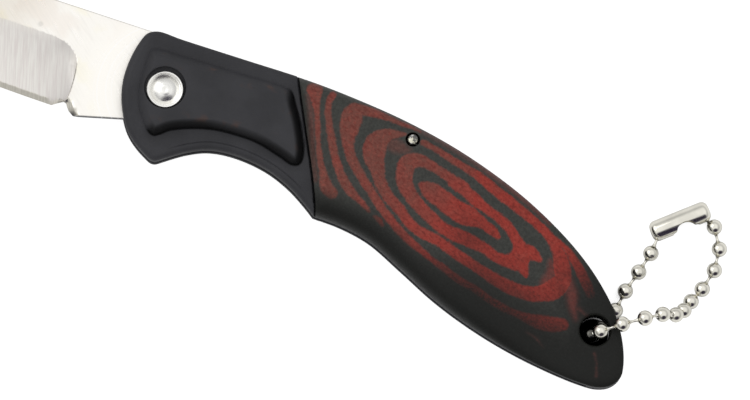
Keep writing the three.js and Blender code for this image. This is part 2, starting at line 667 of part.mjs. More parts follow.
// Hollow bead with one round mouth towards each neighbour, which may lie at an angle
function beadGeometry(mouths) {
  const shell = new THREE.SphereGeometry(BEAD_RADIUS, 10, 7);
  const hollow = new THREE.SphereGeometry(BEAD_RADIUS - BEAD_WALL, 6, 4);
  const bores = mouths.map((direction) =>
    cylinder(BEAD_MOUTH_RADIUS, BEAD_RADIUS / 2, BEAD_RADIUS * 1.5, 0, 0, 6).applyQuaternion(
      along(direction),
    ),
  );
  return shaped(shell, [], [hollow, ...bores]);
}

// Dumbbell link between two bead centres that lie a pitch apart
function linkGeometry(pitch) {
  const head = pitch / 2 - LINK_HEAD_OFFSET;
  const r = LINK_HEAD_RADIUS;
  const rod = LINK_ROD_RADIUS;
  const half = [[rod, head - r], [r, head - r / 2], [r, head + r / 3], [0, head + r]];
  const other = half.map(([x, z]) => [x, -z]).reverse();
  return turned([...other, ...half], 6);
}

// Slotted barrel that holds the last bead of each strand, with a notch across its middle
function connectorGeometry() {
  const half = CONNECTOR_LENGTH / 2;
  const r = CONNECTOR_RADIUS;
  const round = CONNECTOR_END_ROUND;
  const end = [[r, half - round], [r - 0.3 * round, half - 0.3 * round], [r - round, half], [0, half]];
  const otherEnd = end.map(([x, z]) => [x, -z]).reverse();
  const barrel = turned([...otherEnd, ...end], 16);
  const floor = half - CONNECTOR_END_WALL;
  const hollow = cylinder(r - CONNECTOR_WALL, -floor, floor, 0, 0, 16);
  const slot = new THREE.BoxGeometry(CONNECTOR_SLOT, 2 * r, 2 * CONNECTOR_LENGTH);
  slot.translate(0, -r, 0);
  const notch = cylinder(CONNECTOR_NOTCH_RADIUS, -2 * r, 2 * r, 0, 0, 20).rotateY(Math.PI / 2);
  notch.translate(0, CONNECTOR_NOTCH_DEPTH - CONNECTOR_NOTCH_RADIUS - r, CONNECTOR_NOTCH_OFFSET);
  return shaped(barrel, [], [hollow, slot, notch]);
}

function material(finish) {
  return new THREE.MeshStandardMaterial(finishes[finish]);
}

function piece(name, geometry, finish, parent) {
  const mesh = new THREE.Mesh(geometry, material(finish));
  mesh.name = name;
  parent.add(mesh);
  return mesh;
}

const knife = new THREE.Group();
knife.position.set(-REST_X, -REST_Y, FACE);

const handle = new THREE.Group();
knife.add(handle);
const shell = shellGeometry();
const panel = panelGeometry();
piece("front_shell", shell, "moulded_black", handle);
piece("rear_shell", otherSide(shell), "moulded_black", handle);
piece("front_grip_panel", panel, "laminated_wood", handle);
piece("rear_grip_panel", otherSide(panel), "laminated_wood", handle);
piece("butt_spacer", spacerGeometry(), "moulded_black", handle);
piece("lock_spring", springGeometry(), "lock_steel", handle);
piece("pivot_rivet_stem", rivetStemGeometry(), "rivet_steel", handle);
piece("pivot_rivet_sleeve", rivetSleeveGeometry(), "rivet_steel", handle);
piece("front_washer", washerGeometry(), "washer_bronze", handle);
piece("rear_washer", otherSide(washerGeometry()), "washer_bronze", handle);
piece("rocker_pin", rockerPinGeometry(), "rivet_steel", handle).position.set(ROCKER_X, ROCKER_Y, 0);
HIDDEN_RIVETS.forEach(([x, y], i) => {
  piece(`hidden_rivet_${i + 1}`, hiddenRivetGeometry(), "lock_steel", handle).position.set(x, y, 0);
});

// The open blade points a little upwards, by BLADE_RISE degrees
const bladeGroup = new THREE.Group();
bladeGroup.rotation.z = -THREE.MathUtils.degToRad(BLADE_RISE);
knife.add(bladeGroup);
piece("blade", bladeGeometry(), "blade_steel", bladeGroup);

const lockGroup = new THREE.Group();
knife.add(lockGroup);
piece("lock_bar", lockBarGeometry(), "lock_steel", lockGroup);

// The chain's heights start at the surface that the knife lies on
const chain = new THREE.Group();
chain.position.set(0, 0, -FACE);
knife.add(chain);
const axis = new THREE.Vector3(1, 0, 0).applyAxisAngle(
  new THREE.Vector3(0, 0, 1),
  THREE.MathUtils.degToRad(CONNECTOR_ANGLE),
);
const connectorCentre = new THREE.Vector3(...CONNECTOR_CENTRE, CONNECTOR_RADIUS);
const heldOffset = CONNECTOR_LENGTH / 2 - CONNECTOR_BEAD_INSET;
const held = [heldOffset, -heldOffset].map((d) => connectorCentre.clone().addScaledVector(axis, d));
const strand = [...BACK_STRAND, ...FRONT_STRAND].map((p) => new THREE.Vector3(...p));
const route = [held[1], ...strand, held[0]];

route.forEach((centre, i) => {
  const neighbours = [route[i - 1], route[i + 1]].filter(Boolean);
  const mouths = neighbours.map((other) => other.clone().sub(centre));
  const name = `chain_bead_${String(i + 1).padStart(2, "0")}`;
  piece(name, beadGeometry(mouths), "chain_nickel", chain).position.copy(centre);
});
route.slice(1).forEach((centre, i) => {
  const span = centre.clone().sub(route[i]);
  const name = `chain_link_${String(i + 1).padStart(2, "0")}`;
  const link = piece(name, linkGeometry(span.length()), "chain_nickel", chain);
  link.position.copy(route[i]).addScaledVector(span, 0.5);
  link.quaternion.copy(along(span));
});

const connector = piece("chain_connector", connectorGeometry(), "chain_nickel", chain);
connector.position.copy(connectorCentre);
const sideways = new THREE.Vector3().crossVectors(axis, new THREE.Vector3(0, 0, 1));
const basis = new THREE.Matrix4().makeBasis(
  new THREE.Vector3().crossVectors(sideways.clone().negate(), axis),
  sideways.clone().negate(),
  axis,
);
connector.quaternion.setFromRotationMatrix(basis);

export default knife;
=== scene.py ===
"""Finished look of a folding pocket knife with laminated grip panels and a ball chain.

Outlines are in millimetres about the blade's pivot, with heights from the handle's middle plane.
"""
import json
import math

import bmesh
import bpy
import numpy as np
from mathutils import Matrix, Vector
from mathutils.geometry import delaunay_2d_cdt


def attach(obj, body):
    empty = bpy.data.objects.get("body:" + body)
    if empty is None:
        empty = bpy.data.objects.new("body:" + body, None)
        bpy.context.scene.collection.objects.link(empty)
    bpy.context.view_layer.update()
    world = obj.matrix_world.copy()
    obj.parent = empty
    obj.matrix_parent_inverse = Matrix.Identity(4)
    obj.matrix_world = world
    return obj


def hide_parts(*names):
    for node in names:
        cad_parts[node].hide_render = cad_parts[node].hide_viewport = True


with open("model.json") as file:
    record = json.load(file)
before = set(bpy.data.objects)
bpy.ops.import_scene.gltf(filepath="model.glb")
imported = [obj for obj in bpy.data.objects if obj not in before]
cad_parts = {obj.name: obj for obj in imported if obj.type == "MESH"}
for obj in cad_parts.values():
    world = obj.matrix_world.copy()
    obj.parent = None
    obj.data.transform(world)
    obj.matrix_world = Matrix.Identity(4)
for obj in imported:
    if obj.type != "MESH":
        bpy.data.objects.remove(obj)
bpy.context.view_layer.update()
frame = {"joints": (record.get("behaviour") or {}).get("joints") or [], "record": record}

bl_info = {
    "name": "Folding Pocket Knife",
    "version": (1, 0, 0),
    "blender": (4, 5, 0),
    "location": "View3D > Sidebar > Knife",
    "description": "Builds the finished pieces of a folding pocket knife around its frame",
    "category": "Add Mesh",
}

MM = 0.001
BODIES = frame["record"]["behaviour"]["bodies"]
JOINT_PLACES = {joint["name"]: Vector(joint["pos_m"]) for joint in frame["joints"]}
PIVOT = JOINT_PLACES["blade_pivot"]


def about_pivot(place):
    """A place of the frame as x and y in millimetres from the pivot."""
    offset = (place - PIVOT) / MM
    return np.array([offset.x, offset.y])


# Layers of the handle, from its middle plane outwards
FACE = PIVOT.z / MM
INNER = 1.45
PLATE_TOP = 2.65
PANEL_BED = 2.7
BORDER_TOP = 4.6
BUTT_HALF = 3.5
BUTT_TAPER = (48, 70)

# Handle outline from the bolster's lower tip round the front, back and butt to the belly's cusp.
# The back begins after the point that BACK_FROM counts to.
HANDLE_TIP = (1.5, -10.9)
TIP_ROUND = 0.8
OUTLINE_INSET = 0.01
HANDLE_CUSP = (27.0, -11.2)
HANDLE_ROUND = [
    HANDLE_TIP, (-1.64, -9.12), (-3.62, -7.34), (-5.35, -4.42), (-6.32, -1.53), (-6.55, 1.2), (-6.3, 3.9),
    (-5.75, 6.1), (-5.1, 7.45), (-3.65, 8.2), (0, 8.12), (10, 8.09), (20, 8.06), (27, 7.66), (36, 6.67),
    (45, 4.87), (54, 2.04), (60.1, -0.6), (66.1, -3.96), (70.6, -7.3), (74.36, -11.08), (76.9, -15.05),
    (78.15, -18.5), (78.26, -20.35), (77.23, -21.94), (75.4, -22.8), (72.5, -22.95), (66, -22.34),
    (60, -21.3), (54, -19.75), (48, -17.66), (42, -14.92), (36, -12.3), (31, -11.35), HANDLE_CUSP,
]
BACK_FROM = 9
BOLSTER_BELLY = [
    HANDLE_CUSP, (25.2, -9.95), (22, -8.1), (18, -6.65), (13, -6.05), (9, -6.5), (6, -7.8),
    (3.4, -9.5), HANDLE_TIP,
]
PLATEAU = [
    (-3.2, 5.55), (-3.85, 5.0), (-4.0, 2.6), (-3.9, -0.7), (-3.4, -2.6), (-2.4, -4.6), (-0.9, -6.3),
    (0.35, -6.95), (1.2, -6.5), (2.3, -5.6), (4.7, -4.5), (8.4, -3.45), (12, -3.15), (15.6, -3.3),
    (19.6, -4.3), (21.5, -4.85), (22.5, -4.5), (22.65, -2.9), (20.8, 1.4), (19.5, 3.5), (18.1, 5.5),
    (17.1, 5.9), (10.3, 5.85), (1.2, 5.75),
]
JOINT_LINE = [
    (17.6, 9.6), (18.65, 7.2), (20.5, 3.3), (22.95, -1.75), (25.1, -6.3), (26.7, -10.3), (27.4, -13),
]
PANEL_GAP = 0.3

# Grooves of the moulded halves and the rise of the plateau's shoulder, with rows of points along them
CREASE_INSET = 0.1
CREASE_WIDTH = 0.09
CREASE_START = (2.0, 5.0)
CREASE_END = (22.5, 25.5)
CREASE_ROWS = (-0.1, -0.05, 0.0, 0.05, 0.1, 0.18)
ROOT_INSET = 0.02
ROOT_WIDTH = 0.13
LIT_ROOT_SHARE = 0.15
SHOULDER_OVERSHOOT = 0.28
SHOULDER_POWER = 4.57
ROOT_ROWS = (-0.26, -0.16, -0.08, 0.07, 0.15, 0.26)
SHOULDER_ROWS = (0.35, 0.55, 0.7, 0.8, 0.88, 0.95, 1.02)
JOINT_ROUND = 0.2
JOINT_WALL = 0.03

# Where the plateau's edge is turned from the light: below the pivot, later at its front, and at its rear
SHADED_BELOW = (1.2, 3.4)
SHADED_FRONT = (-1.5, 2.0)
SHADED_FRONT_DELAY = 4.5
SHADED_REAR = (17.2, 18.6)

# Where the plateau's edge gets painted shade or lighter patches, as multiples of its shoulder, and the width
# of its painted dark foot
DARK_SLOPE_END = (0.45, 1.1)
DARK_FOOT = (-0.35, 0.0)
PATCHED_BROW = (0.3, 0.6)
PATCHED_BROW_END = (0.9, 1.4)

# Crown of the grip panels, thinner by this share at the rim, and rows of points along the rim
PANEL_CROWN = 0.06
PANEL_CROWN_REACH = 7
PANEL_SHOULDER_POWERS = (2.6, 2.3)
PANEL_ROWS = (0.02, 0.06, 0.12, 0.2, 0.32, 0.48, 0.68, 0.92, 1.2)
PANEL_TOLERANCE = 0.001

# Round holes and what sits in them
RIVET_RECESS = 3.15
RIVET_RECESS_CENTRE = (-0.09, 0.29)
RIVET_RECESS_FLOOR = FACE - 1.0
RIVET_RECESS_WALL = 0.02
RIVET_RECESS_CHAMFER = 0.12
RIVET_RECESS_CHAMFER_SLOPE = 0.6
RIVET_HEAD = 2.81
RIVET_SEAT = RIVET_RECESS_FLOOR + 0.05
SLEEVE = 1.9
SLEEVE_MOUTH = 0.3
SLEEVE_FLOOR = RIVET_SEAT - 0.1
STEM = 1.25
STEM_FOOT = 0.4
PIN_CHAMFER = 0.1
WASHER_RADIUS = 4.2
WASHER_THICKNESS = 0.25
WASHER_EDGE = 0.05
ROCKER = about_pivot(JOINT_PLACES["lock_rocker"])
ROCKER_PIN = 0.8
ROCKER_PIN_SINK = 0.6
ROCKER_PIN_DOME = [(0, 0), (0.3, -0.01), (0.58, -0.04), (0.72, -0.1), (ROCKER_PIN, -0.22)]
ROCKER_RECESS = 1.1
ROCKER_RECESS_ROUND = 0.12
LANYARD = about_pivot(JOINT_PLACES["chain_swing"])
LANYARD_HOLE = 2.3
LANYARD_DARK_EDGE = 0.15
HIDDEN_RIVET = 0.9
HIDDEN_RIVETS = [(65.2, -4.6), (75.3, -20.2)]
SEAT = 0.05
TURNING_FIT = 0.1

# Blade
BLADE_HALF = 1.1
BLADE_TIP_HALF = 0.35
BLADE_TAPER = (45, 70.5)
BLADE_RISE = math.radians(0.6)
BLADE_TIP = (-70.34, 1.33)
SPINE_Y = 8.1
SPINE_LINE = [(-38, SPINE_Y), (-48, 7.75), (-56, 6.6), (-63, 4.75), (-68, 2.8), BLADE_TIP]
EDGE_LINE = [
    (-15.6, -7.16), (-20, -7.1), (-26, -6.95), (-36, -6.9), (-46, -6.5), (-54, -5.4), (-61, -3.6),
    (-66.5, -1.4), BLADE_TIP,
]
GRIND_LINE = [
    (-13.82, -6.05), (-13.5, -5.0), (-13.48, -3.05), (-13.65, -1.1), (-14.05, 0.55), (-14.85, 1.55),
    (-16.1, 2.35), (-17.8, 2.8), (-20.5, 2.9), (-26.9, 2.95), (-40, 2.8), (-54, 3.1), (-64, 2.6),
    BLADE_TIP,
]
CHOIL = [(-15.6, -7.16), (-14.75, -6.55), (-14.0, -6.05), (-13.55, -6.2), (-13.2, -6.75)]
KICK = [(-12.8, -7.2), (-12.0, -7.7), (-11.2, -7.54), (-4.2, -5.65), (-3.2, -4.3), (-1.35, -5.0)]
TANG_RADIUS = 6.2
TANG_ARC = (28, -99, -4)
LOCK_NOTCH = [(4.3, 3.45), (2.75, 4.5), (2.75, SPINE_Y)]
BEVEL_HEIGHT = 0.82
BEVEL_HALF = 0.3
EDGE_HALF = 0.05
HOLLOW_POWER = 1.8
PLUNGE_WALL = 0.12
PLUNGE_FRONT = -17
GROUND_FROM = -14.2
KICK_CHAMFER = 0.16
KICK_CHAMFER_SLOPE = 1.3
KICK_CHAMFER_SHIFT = (-0.04, 0.155)
CHOIL_CHAMFER = 0.85
CHOIL_CHAMFER_SLOPE = 0.5
CHOIL_CHAMFER_SHIFT = (0.72, 0.3)
CHOIL_FACET_WIDTH = 0.8
LEAST_GRIND = 0.06
GRIND_ROWS = (-0.15, 0.35, 0.7)
NICK_PLACE = (-40, 5.9)
NICK_HALF = (5.5, 0.85)
NICK_DEPTH = 0.5
NICK_ROWS = (1, 0.97, 0.9, 0.78, 0.6, 0.35)
SPINE_CHAMFER_END = 2.5
GREY_SPOT = (-20.9, 4.1, 0)

# Painted shade on the blade: strength and reach of the darker reflection painted by the plunge, and the shade
# along the back
PLUNGE_SHADE_REACH = ((0.6, 0.8), (0.32, 5))
SPINE_SHADE = 0.3
SPINE_SHADE_END = -5
ON_EDGE = 0.02

# Lock bar, spring and spacer
LOCK_HALF = 1.3
LOCK_BOSS = 2.3
LOCK_BOSS_ARC = (-30, -151, -8)
LOCK_INSET = 0.08
LOCK_SINK = 0.27
LOCK_TAIL_DEPTH = 1.9
LOCK_TAIL_X = 60.2
LOCK_TOP_XS = [3.0, 10, 18, 25, 31, 37, 43, 49, 55, LOCK_TAIL_X]
LOCK_TAIL_XS = [LOCK_TAIL_X, 56, 51, 46, 42]
LOCK_ARM = [
    (33.2, 3.4), (27, 4.7), (20, 5.4), (15, 5.9), (5.7, 5.9), (5.15, 5.2), (4.4, 4.7), (3.05, 5.68),
]
SPRING_THICKNESS = 0.5
SPRING_HALF = 1.0
SPRING_CHAMFER = 0.06
SPRING_POCKET = 0.7
SPRING_POCKET_ENDS = 0.15
SPRING_LINE = [(64.6, -7.1), (61, -5.3), (57, -3.4), (52, -0.95), (48.6, 0.75), (46.8, 1.35)]
SPACER_FRONT = [
    (60.9, 5), (60.9, -6.4), (66.2, -9.2), (68.2, -12.4), (68.6, -16), (70.3, -18.6), (72.4, -20.6),
    (73.7, -22), (73.7, -30),
]
SPACER_REAR = [(90, -30), (90, 5)]

# Ball chain: bead centres with their height over the floor
BEAD = 1.17
BEAD_WALL = 0.2
BEAD_MOUTH = 0.4
BEAD_LIP = 0.02
BEAD_LIP_INSET = 0.3
BEAD_SIDES = 36
FRONT_STRAND = [
    (73.27, -14.68, 9.9), (76.05, -12.72, 10.8), (79.05, -10.8, 10.5), (81.45, -9.3, 8.6),
    (83.4, -8.55, 5.8), (84.4, -7.35, 3.0), (85.05, -5.6, 1.3), (86.1, -3.3, 1.2),
    (87.0, -0.05, 1.2), (86.75, 3.25, 1.2), (85.05, 6.2, 1.25),
]
BACK_STRAND = [
    (77.1, -0.5, 1.25), (76.2, -3.75, 1.2), (75.15, -7.1, 1.2), (74.6, -10.35, 1.2),
    (73.35, -13.6, 1.25), (72.4, -15.1, 4.2), (72.0, -15.4, 7.3),
]
# How far painted shade darkens the beads that lie deep in the lanyard hole
HOLE_BEAD_SHADE = 0.88
CONNECTOR_PLACE = (79.84, 5.4)
CONNECTOR_ANGLE = 39.8
CONNECTOR_AXIS = 1.45
CONNECTOR = 1.6
CONNECTOR_SHOULDER = 0.95
CONNECTOR_LENGTH = 9.4
CONNECTOR_BEAD_INSET = 1.65
CONNECTOR_WALL = 0.18
CONNECTOR_SLOT = 0.45
CONNECTOR_NOTCH_AT = 0.5
CONNECTOR_NOTCHES = ((1.55, 1.28), (2.15, 0.5))
CONNECTOR_DIMPLE = [(0, -0.2), (0.25, -0.16), (0.4, -0.02), (0.6, 0)]
CONNECTOR_INNER_CHAMFER = 0.25
CUTTER_HALF = 4
LINK_HEAD_INSET = 0.5
LINK_HEAD = [(0, 0.32), (0.16, 0.29), (0.28, 0.17), (0.32, 0), (0.26, -0.14), (0.2, -0.2)]
LINK_COLLAR = [(0.2, 0.25), (0.36, 0.02)]
LINK_TAPER = [(0.29, 0.8), (0.22, 0.5), (0.2, 0)]
LINK_LEAST_NECK = 0.1

# Red layers of the laminate as strokes: x, y and width along the middle of each
RED_LAYERS = {
    "first": [
        (21.4, 6.8, 2.4), (21.9, 5.6, 1.55), (22.6, 4.0, 0.85), (23.2, 2.4, 0.75), (24.4, -0.9, 0.8),
        (25.9, -4.0, 0.9), (26.8, -5.5, 1.3), (27.6, -6.8, 1.9), (28.6, -7.3, 1.7),
    ],
    "second": [
        (24.3, 7.0, 1.0), (24.0, 5.9, 0.95), (24.2, 4.5, 0.85), (24.7, 3.2, 0.95), (26.0, 0.6, 1.1),
        (27.7, -2.5, 1.2), (29.8, -5.1, 1.4), (30.9, -6.0, 1.4), (32.3, -6.8, 1.1), (33.7, -7.5, 0.7),
        (34.7, -8.2, 0.35),
    ],
    "fleck": [(35.7, -8.7, 0.4), (36.6, -9.0, 0.7), (37.3, -9.6, 0.4)],
    "third": [
        (28.0, 5.7, 2.25), (28.0, 4.4, 3.25), (28.1, 3.0, 2.85), (28.3, 1.6, 2.15), (28.6, 0.5, 1.65),
        (29.3, -0.7, 1.4), (31.1, -2.7, 1.45), (33.5, -4.8, 1.3), (37.1, -7.7, 1.25),
        (39.8, -9.5, 1.2), (41.3, -10.3, 1.15), (45.5, -12.1, 0.8), (47.9, -12.9, 1.0),
        (50.5, -13.9, 1.05), (53.0, -14.4, 1.1), (55.9, -15.3, 1.05), (58.7, -15.9, 1.1),
        (61.1, -16.1, 1.1), (63.7, -16.2, 2.0), (66.0, -15.9, 2.3), (67.6, -15.4, 1.7),
    ],
    "third_over_pin": [
        (28.0, 5.8, 1.9), (29.5, 6.15, 1.75), (31.1, 6.25, 1.35), (32.9, 6.2, 1.0), (34.7, 6.05, 0.8),
        (36.7, 5.9, 0.6), (38.4, 5.75, 0.45),
    ],
    "third_at_butt": [
        (60.4, -2.3, 0.35), (62.7, -3.5, 0.6), (64.5, -4.3, 0.8), (67.0, -6.3, 1.3), (68.8, -8.1, 1.5),
        (70.2, -9.7, 1.3),
    ],
    "fourth": [
        (36.3, 4.5, 0.4), (35.0, 4.1, 1.15), (33.8, 3.5, 2.0), (32.8, 2.4, 2.95), (32.6, 1.0, 3.45),
        (33.0, -0.3, 3.0), (33.7, -1.3, 2.4), (34.9, -3.3, 1.8), (36.8, -5.2, 1.6), (39.0, -6.5, 1.55),
        (41.9, -8.5, 1.5), (45.9, -9.3, 1.5), (48.2, -10.0, 1.5), (50.8, -10.8, 1.55),
        (53.4, -11.5, 1.55), (56.0, -12.2, 1.75), (58.5, -12.6, 1.95), (60.6, -12.7, 2.1),
        (62.7, -12.1, 2.35), (64.7, -10.7, 3.1), (65.5, -8.9, 2.6), (64.7, -7.0, 2.5),
        (63.7, -5.3, 1.8), (60.9, -3.0, 1.35), (57.0, -1.3, 1.45), (52.7, 0.3, 1.6), (50.5, 1.2, 1.5),
        (48.3, 2.0, 1.25), (44.3, 3.0, 1.0), (41.8, 3.7, 0.95), (39.3, 4.2, 0.85),
    ],
    "fifth": [
        (47.3, -0.4, 1.55), (43.4, 0.7, 1.4), (41.4, 1.2, 1.45), (39.5, 1.4, 1.9), (38.1, 0.6, 2.6),
        (38.0, -1.0, 2.6), (38.4, -2.3, 2.4), (39.4, -3.5, 2.15), (41.8, -5.2, 1.9), (45.4, -7.0, 1.8),
        (47.2, -7.5, 1.8), (49.6, -7.7, 2.1), (53.2, -8.3, 1.55), (54.9, -8.9, 1.55), (56.8, -8.9, 1.9),
        (58.3, -8.2, 3.1), (57.9, -6.4, 2.0), (56.7, -5.1, 1.45), (55.2, -4.0, 1.45),
        (53.4, -3.1, 1.3), (51.7, -2.6, 1.3), (49.6, -1.8, 1.7), (47.3, -0.8, 1.7), (45.2, -0.2, 1.5),
    ],
    "star_arm": [(58.2, -7.8, 2.7), (59.2, -6.7, 2.2), (60.5, -6.9, 1.45), (61.3, -7.2, 0.8)],
    "star_foot": [(58.8, -8.6, 2.2), (59.6, -9.5, 1.3), (60.1, -10.2, 0.45)],
    "core": [
        (41.1, -2.0, 1.0), (42.6, -2.5, 2.6), (44.6, -3.1, 2.75), (46.6, -3.9, 2.9), (48.6, -4.3, 3.1),
        (50.2, -4.5, 2.35), (51.9, -4.8, 1.35), (53.2, -5.4, 1.45), (54.3, -5.9, 0.7),
    ],
}
# Faint traces of red that show through the dark stain, drawn in the same way
FAINT_RED = {
    "inside_the_fourth": [(33.8, 2.9, 1.8), (35.5, 2.4, 2.2), (37.4, 2.3, 1.2)],
    "along_the_back": [
        (37.5, 6.0, 0.7), (42, 5.3, 0.9), (47, 4.1, 1.0), (52, 2.5, 1.0), (57, 0.6, 0.9), (61, -1.4, 0.6),
    ],
    "behind_the_fourth": [(66.2, -9.0, 2.0), (67.6, -10.8, 2.2), (68.3, -12.6, 1.6), (69.2, -14.0, 1.0)],
    "ahead_of_the_fourth": [(63.0, -6.9, 0.8), (63.6, -8.6, 1.7), (62.9, -10.3, 1.2)],
    "along_the_front": [(20.9, 5.8, 0.9), (22.3, 2.4, 0.9), (24.1, -2.4, 0.9), (25.6, -6.0, 0.8)],
    "by_the_hole": [(69.0, -12.4, 1.0), (70.6, -13.0, 0.75)],
    "below_the_hole": [(73.4, -18.1, 1.0), (74.1, -19.4, 0.75), (74.7, -21.3, 1.0)],
    "near_the_belly": [(62.6, -18.2, 0.5), (64.3, -18.6, 0.8), (65.8, -19.6, 0.5)],
}
STROKE_REACH = 1.5

# Dark stain of the wood: full and fading width along the belly, where that widens, and the butt's edge
STAIN_FULL = 1.6
STAIN_FULL_GROWTH = 0.8
STAIN_FADE = 5.2
STAIN_FADE_GROWTH = 8.8
STAIN_WIDENS = (42, 56)
STAIN_AT_BUTT = (69.5, 76.5)
STAIN_BUTT_LEAN = 0.35
STAIN_AT_BACK = 0.25
STAIN_BACK_WIDTH = (0.15, 0.8)
STAINED_BELLY_FROM = (20, -11)
SCUFF = (50.3, -7.4)
SCUFF_REACH = 3.4
SCUFF_SHARE = 0.42

# Where the red turns from dull to vivid, along x with a lean towards y
VIVID_FROM = (36, 56)
VIVID_LEAN = 0.8

# Bend of the rear panel's layers, along x and along y: how far, and over what length
REAR_SWAY_X = (0.9, 3.5)
REAR_SWAY_Y = (0.7, 5)


# Curves and outlines in the plane

# Points between two given ones, spacings in millimetres, and tolerances
STEPS = 12
OUTLINE_STEP = 0.5
TRIANGLE_HEIGHT = math.sqrt(0.75)
ROW_CLEARANCE = 0.98
RIM_CLEARANCE = 0.05
JOIN_WITHIN = 1e-5
PIECE_JOIN_WITHIN = 2e-7


def smooth(points, steps=STEPS, closed=False):
    """Centripetal curve through given points."""
    p = np.array(points, float)
    p = np.vstack([p[-1:], p, p[:2]] if closed else [2 * p[0] - p[1], p, 2 * p[-1] - p[-2]])
    gap = np.sqrt(np.linalg.norm(np.diff(p[:, :2], axis=0), axis=1))
    t = (np.arange(steps) / steps)[:, None]
    spans = []
    for i in range(1, len(p) - 2):
        a, b, c, d = p[i - 1:i + 3]
        u, v, w = gap[i - 1:i + 2]
        start = ((b - a) / u - (c - a) / (u + v) + (c - b) / v) * v
        end = ((c - b) / v - (d - b) / (v + w) + (d - c) / w) * v
        square = 3 * (c - b) - 2 * start - end
        cube = 2 * (b - c) + start + end
        spans.append(b + start * t + square * t ** 2 + cube * t ** 3)
    curve = np.vstack(spans)
    return curve if closed else np.vstack([curve, p[-2]])


def evenly(path, step):
    """The same path with points about a step apart. Its two ends stay."""
    run = np.concatenate([[0], np.cumsum(np.linalg.norm(np.diff(path, axis=0), axis=1))])
    stops = np.linspace(0, run[-1], max(2, int(round(run[-1] / step)) + 1))
    return np.column_stack([np.interp(stops, run, path[:, k]) for k in range(path.shape[1])])


def joined(*paths):
    """Closed outline of paths that follow each other, each without its last point."""
    return np.vstack([path[:-1] for path in paths])


def eased_corner(outline, corner, reach):
    """Closed outline that starts at a corner, with the corner rounded off."""
    kept = outline[np.linalg.norm(outline - corner, axis=1) > reach]
    t = np.linspace(0, 1, 7)[1:-1, None]
    arc = (1 - t) ** 2 * kept[-1] + 2 * t * (1 - t) * np.array(corner) + t ** 2 * kept[0]
    return np.vstack([arc, kept])


def circle(centre, radius, count=48):
    """Closed outline of a circle."""
    turn = np.linspace(0, 2 * np.pi, count, endpoint=False)
    return np.column_stack([centre[0] + radius * np.cos(turn), centre[1] + radius * np.sin(turn)])


def ellipse(centre, halves, count=64):
    """Closed outline of an ellipse with these half-axes."""
    return (circle((0, 0), 1, count) * np.array(halves)) + np.array(centre)


def distance(points, path, closed):
    """Distance of each point from a path."""
    ends = np.roll(path, -1, axis=0) if closed else path[1:]
    best = np.full(len(points), np.inf)
    for a, b in zip(path, ends):
        run = b - a
        share = np.clip(((points - a) @ run) / max(run @ run, 1e-12), 0, 1)
        best = np.minimum(best, ((points - a - share[:, None] * run) ** 2).sum(axis=1))
    return np.sqrt(best)


def inside(points, outline):
    """Which of the points lie inside an outline."""
    x, y = points.T
    odd = np.zeros(len(points), bool)
    for (ax, ay), (bx, by) in zip(outline, np.roll(outline, -1, axis=0)):
        if ay != by:
            crossed = ((ay > y) != (by > y)) & (x < ax + (y - ay) * (bx - ax) / (by - ay))
            odd ^= crossed
    return odd


def depth_in(points, outline):
    """Distance to an outline, positive inside it."""
    gap = distance(points, outline, True)
    return np.where(inside(points, outline), gap, -gap)


def shifted(path, offset, closed):
    """The path moved sideways by an offset, to its left if positive."""
    if closed:
        run = np.roll(path, -1, axis=0) - np.roll(path, 1, axis=0)
    else:
        run = np.gradient(path, axis=0)
    run = run / np.linalg.norm(run, axis=1)[:, None]
    return path + offset * np.column_stack([-run[:, 1], run[:, 0]])


def signed_area(outline):
    """Area of an outline, positive if it runs counterclockwise."""
    x, y = outline.T
    return 0.5 * np.sum(x * np.roll(y, -1) - np.roll(x, -1) * y)


def ease(value, low, high):
    """Goes from 0 at low to 1 at high with soft ends."""
    t = np.clip((np.asarray(value, float) - low) / (high - low), 0, 1)
    return t * t * (3 - 2 * t)


def round_drop(gap, radius):
    """How far a quarter-round edge lies below its flat at a distance from the rim."""
    reach = np.clip(radius - gap, 0, radius)
    return radius - np.sqrt(np.maximum(radius ** 2 - reach ** 2, 0))


def round_rows(radius, count=6):
    """Distances from a rim at which rows of points follow a quarter-round evenly."""
    return [radius * (1 - math.cos(math.pi / 2 * k / count)) for k in range(1, count + 1)]


BELLY = evenly(smooth(BOLSTER_BELLY), OUTLINE_STEP)
HANDLE = joined(evenly(smooth(HANDLE_ROUND), OUTLINE_STEP), BELLY)
HANDLE_INWARDS = np.sign(signed_area(HANDLE))
HANDLE = shifted(eased_corner(HANDLE, HANDLE_TIP, TIP_ROUND), OUTLINE_INSET * HANDLE_INWARDS, True)
HANDLE_BACK = smooth(HANDLE_ROUND)[BACK_FROM * STEPS + 1:]
HANDLE_BACK = HANDLE_BACK[:np.argmax(HANDLE_BACK[:, 0])]
JOINT = evenly(smooth(JOINT_LINE, 10), OUTLINE_STEP)
PLATEAU_EDGE = smooth(PLATEAU, 8, closed=True)
STAINED_BELLY = HANDLE[(HANDLE[:, 0] > STAINED_BELLY_FROM[0]) & (HANDLE[:, 1] < STAINED_BELLY_FROM[1])]


def behind_joint(points, shift=0.0):
    """Distance along x behind the line where the bolster meets the panel."""
    order = np.argsort(JOINT[:, 1])
    return points[:, 0] - np.interp(points[:, 1], JOINT[order, 1], JOINT[order, 0]) - shift


def handle_back(x):
    """Height of the handle's back at x."""
    return np.interp(x, HANDLE_BACK[:, 0], HANDLE_BACK[:, 1])


# Solids


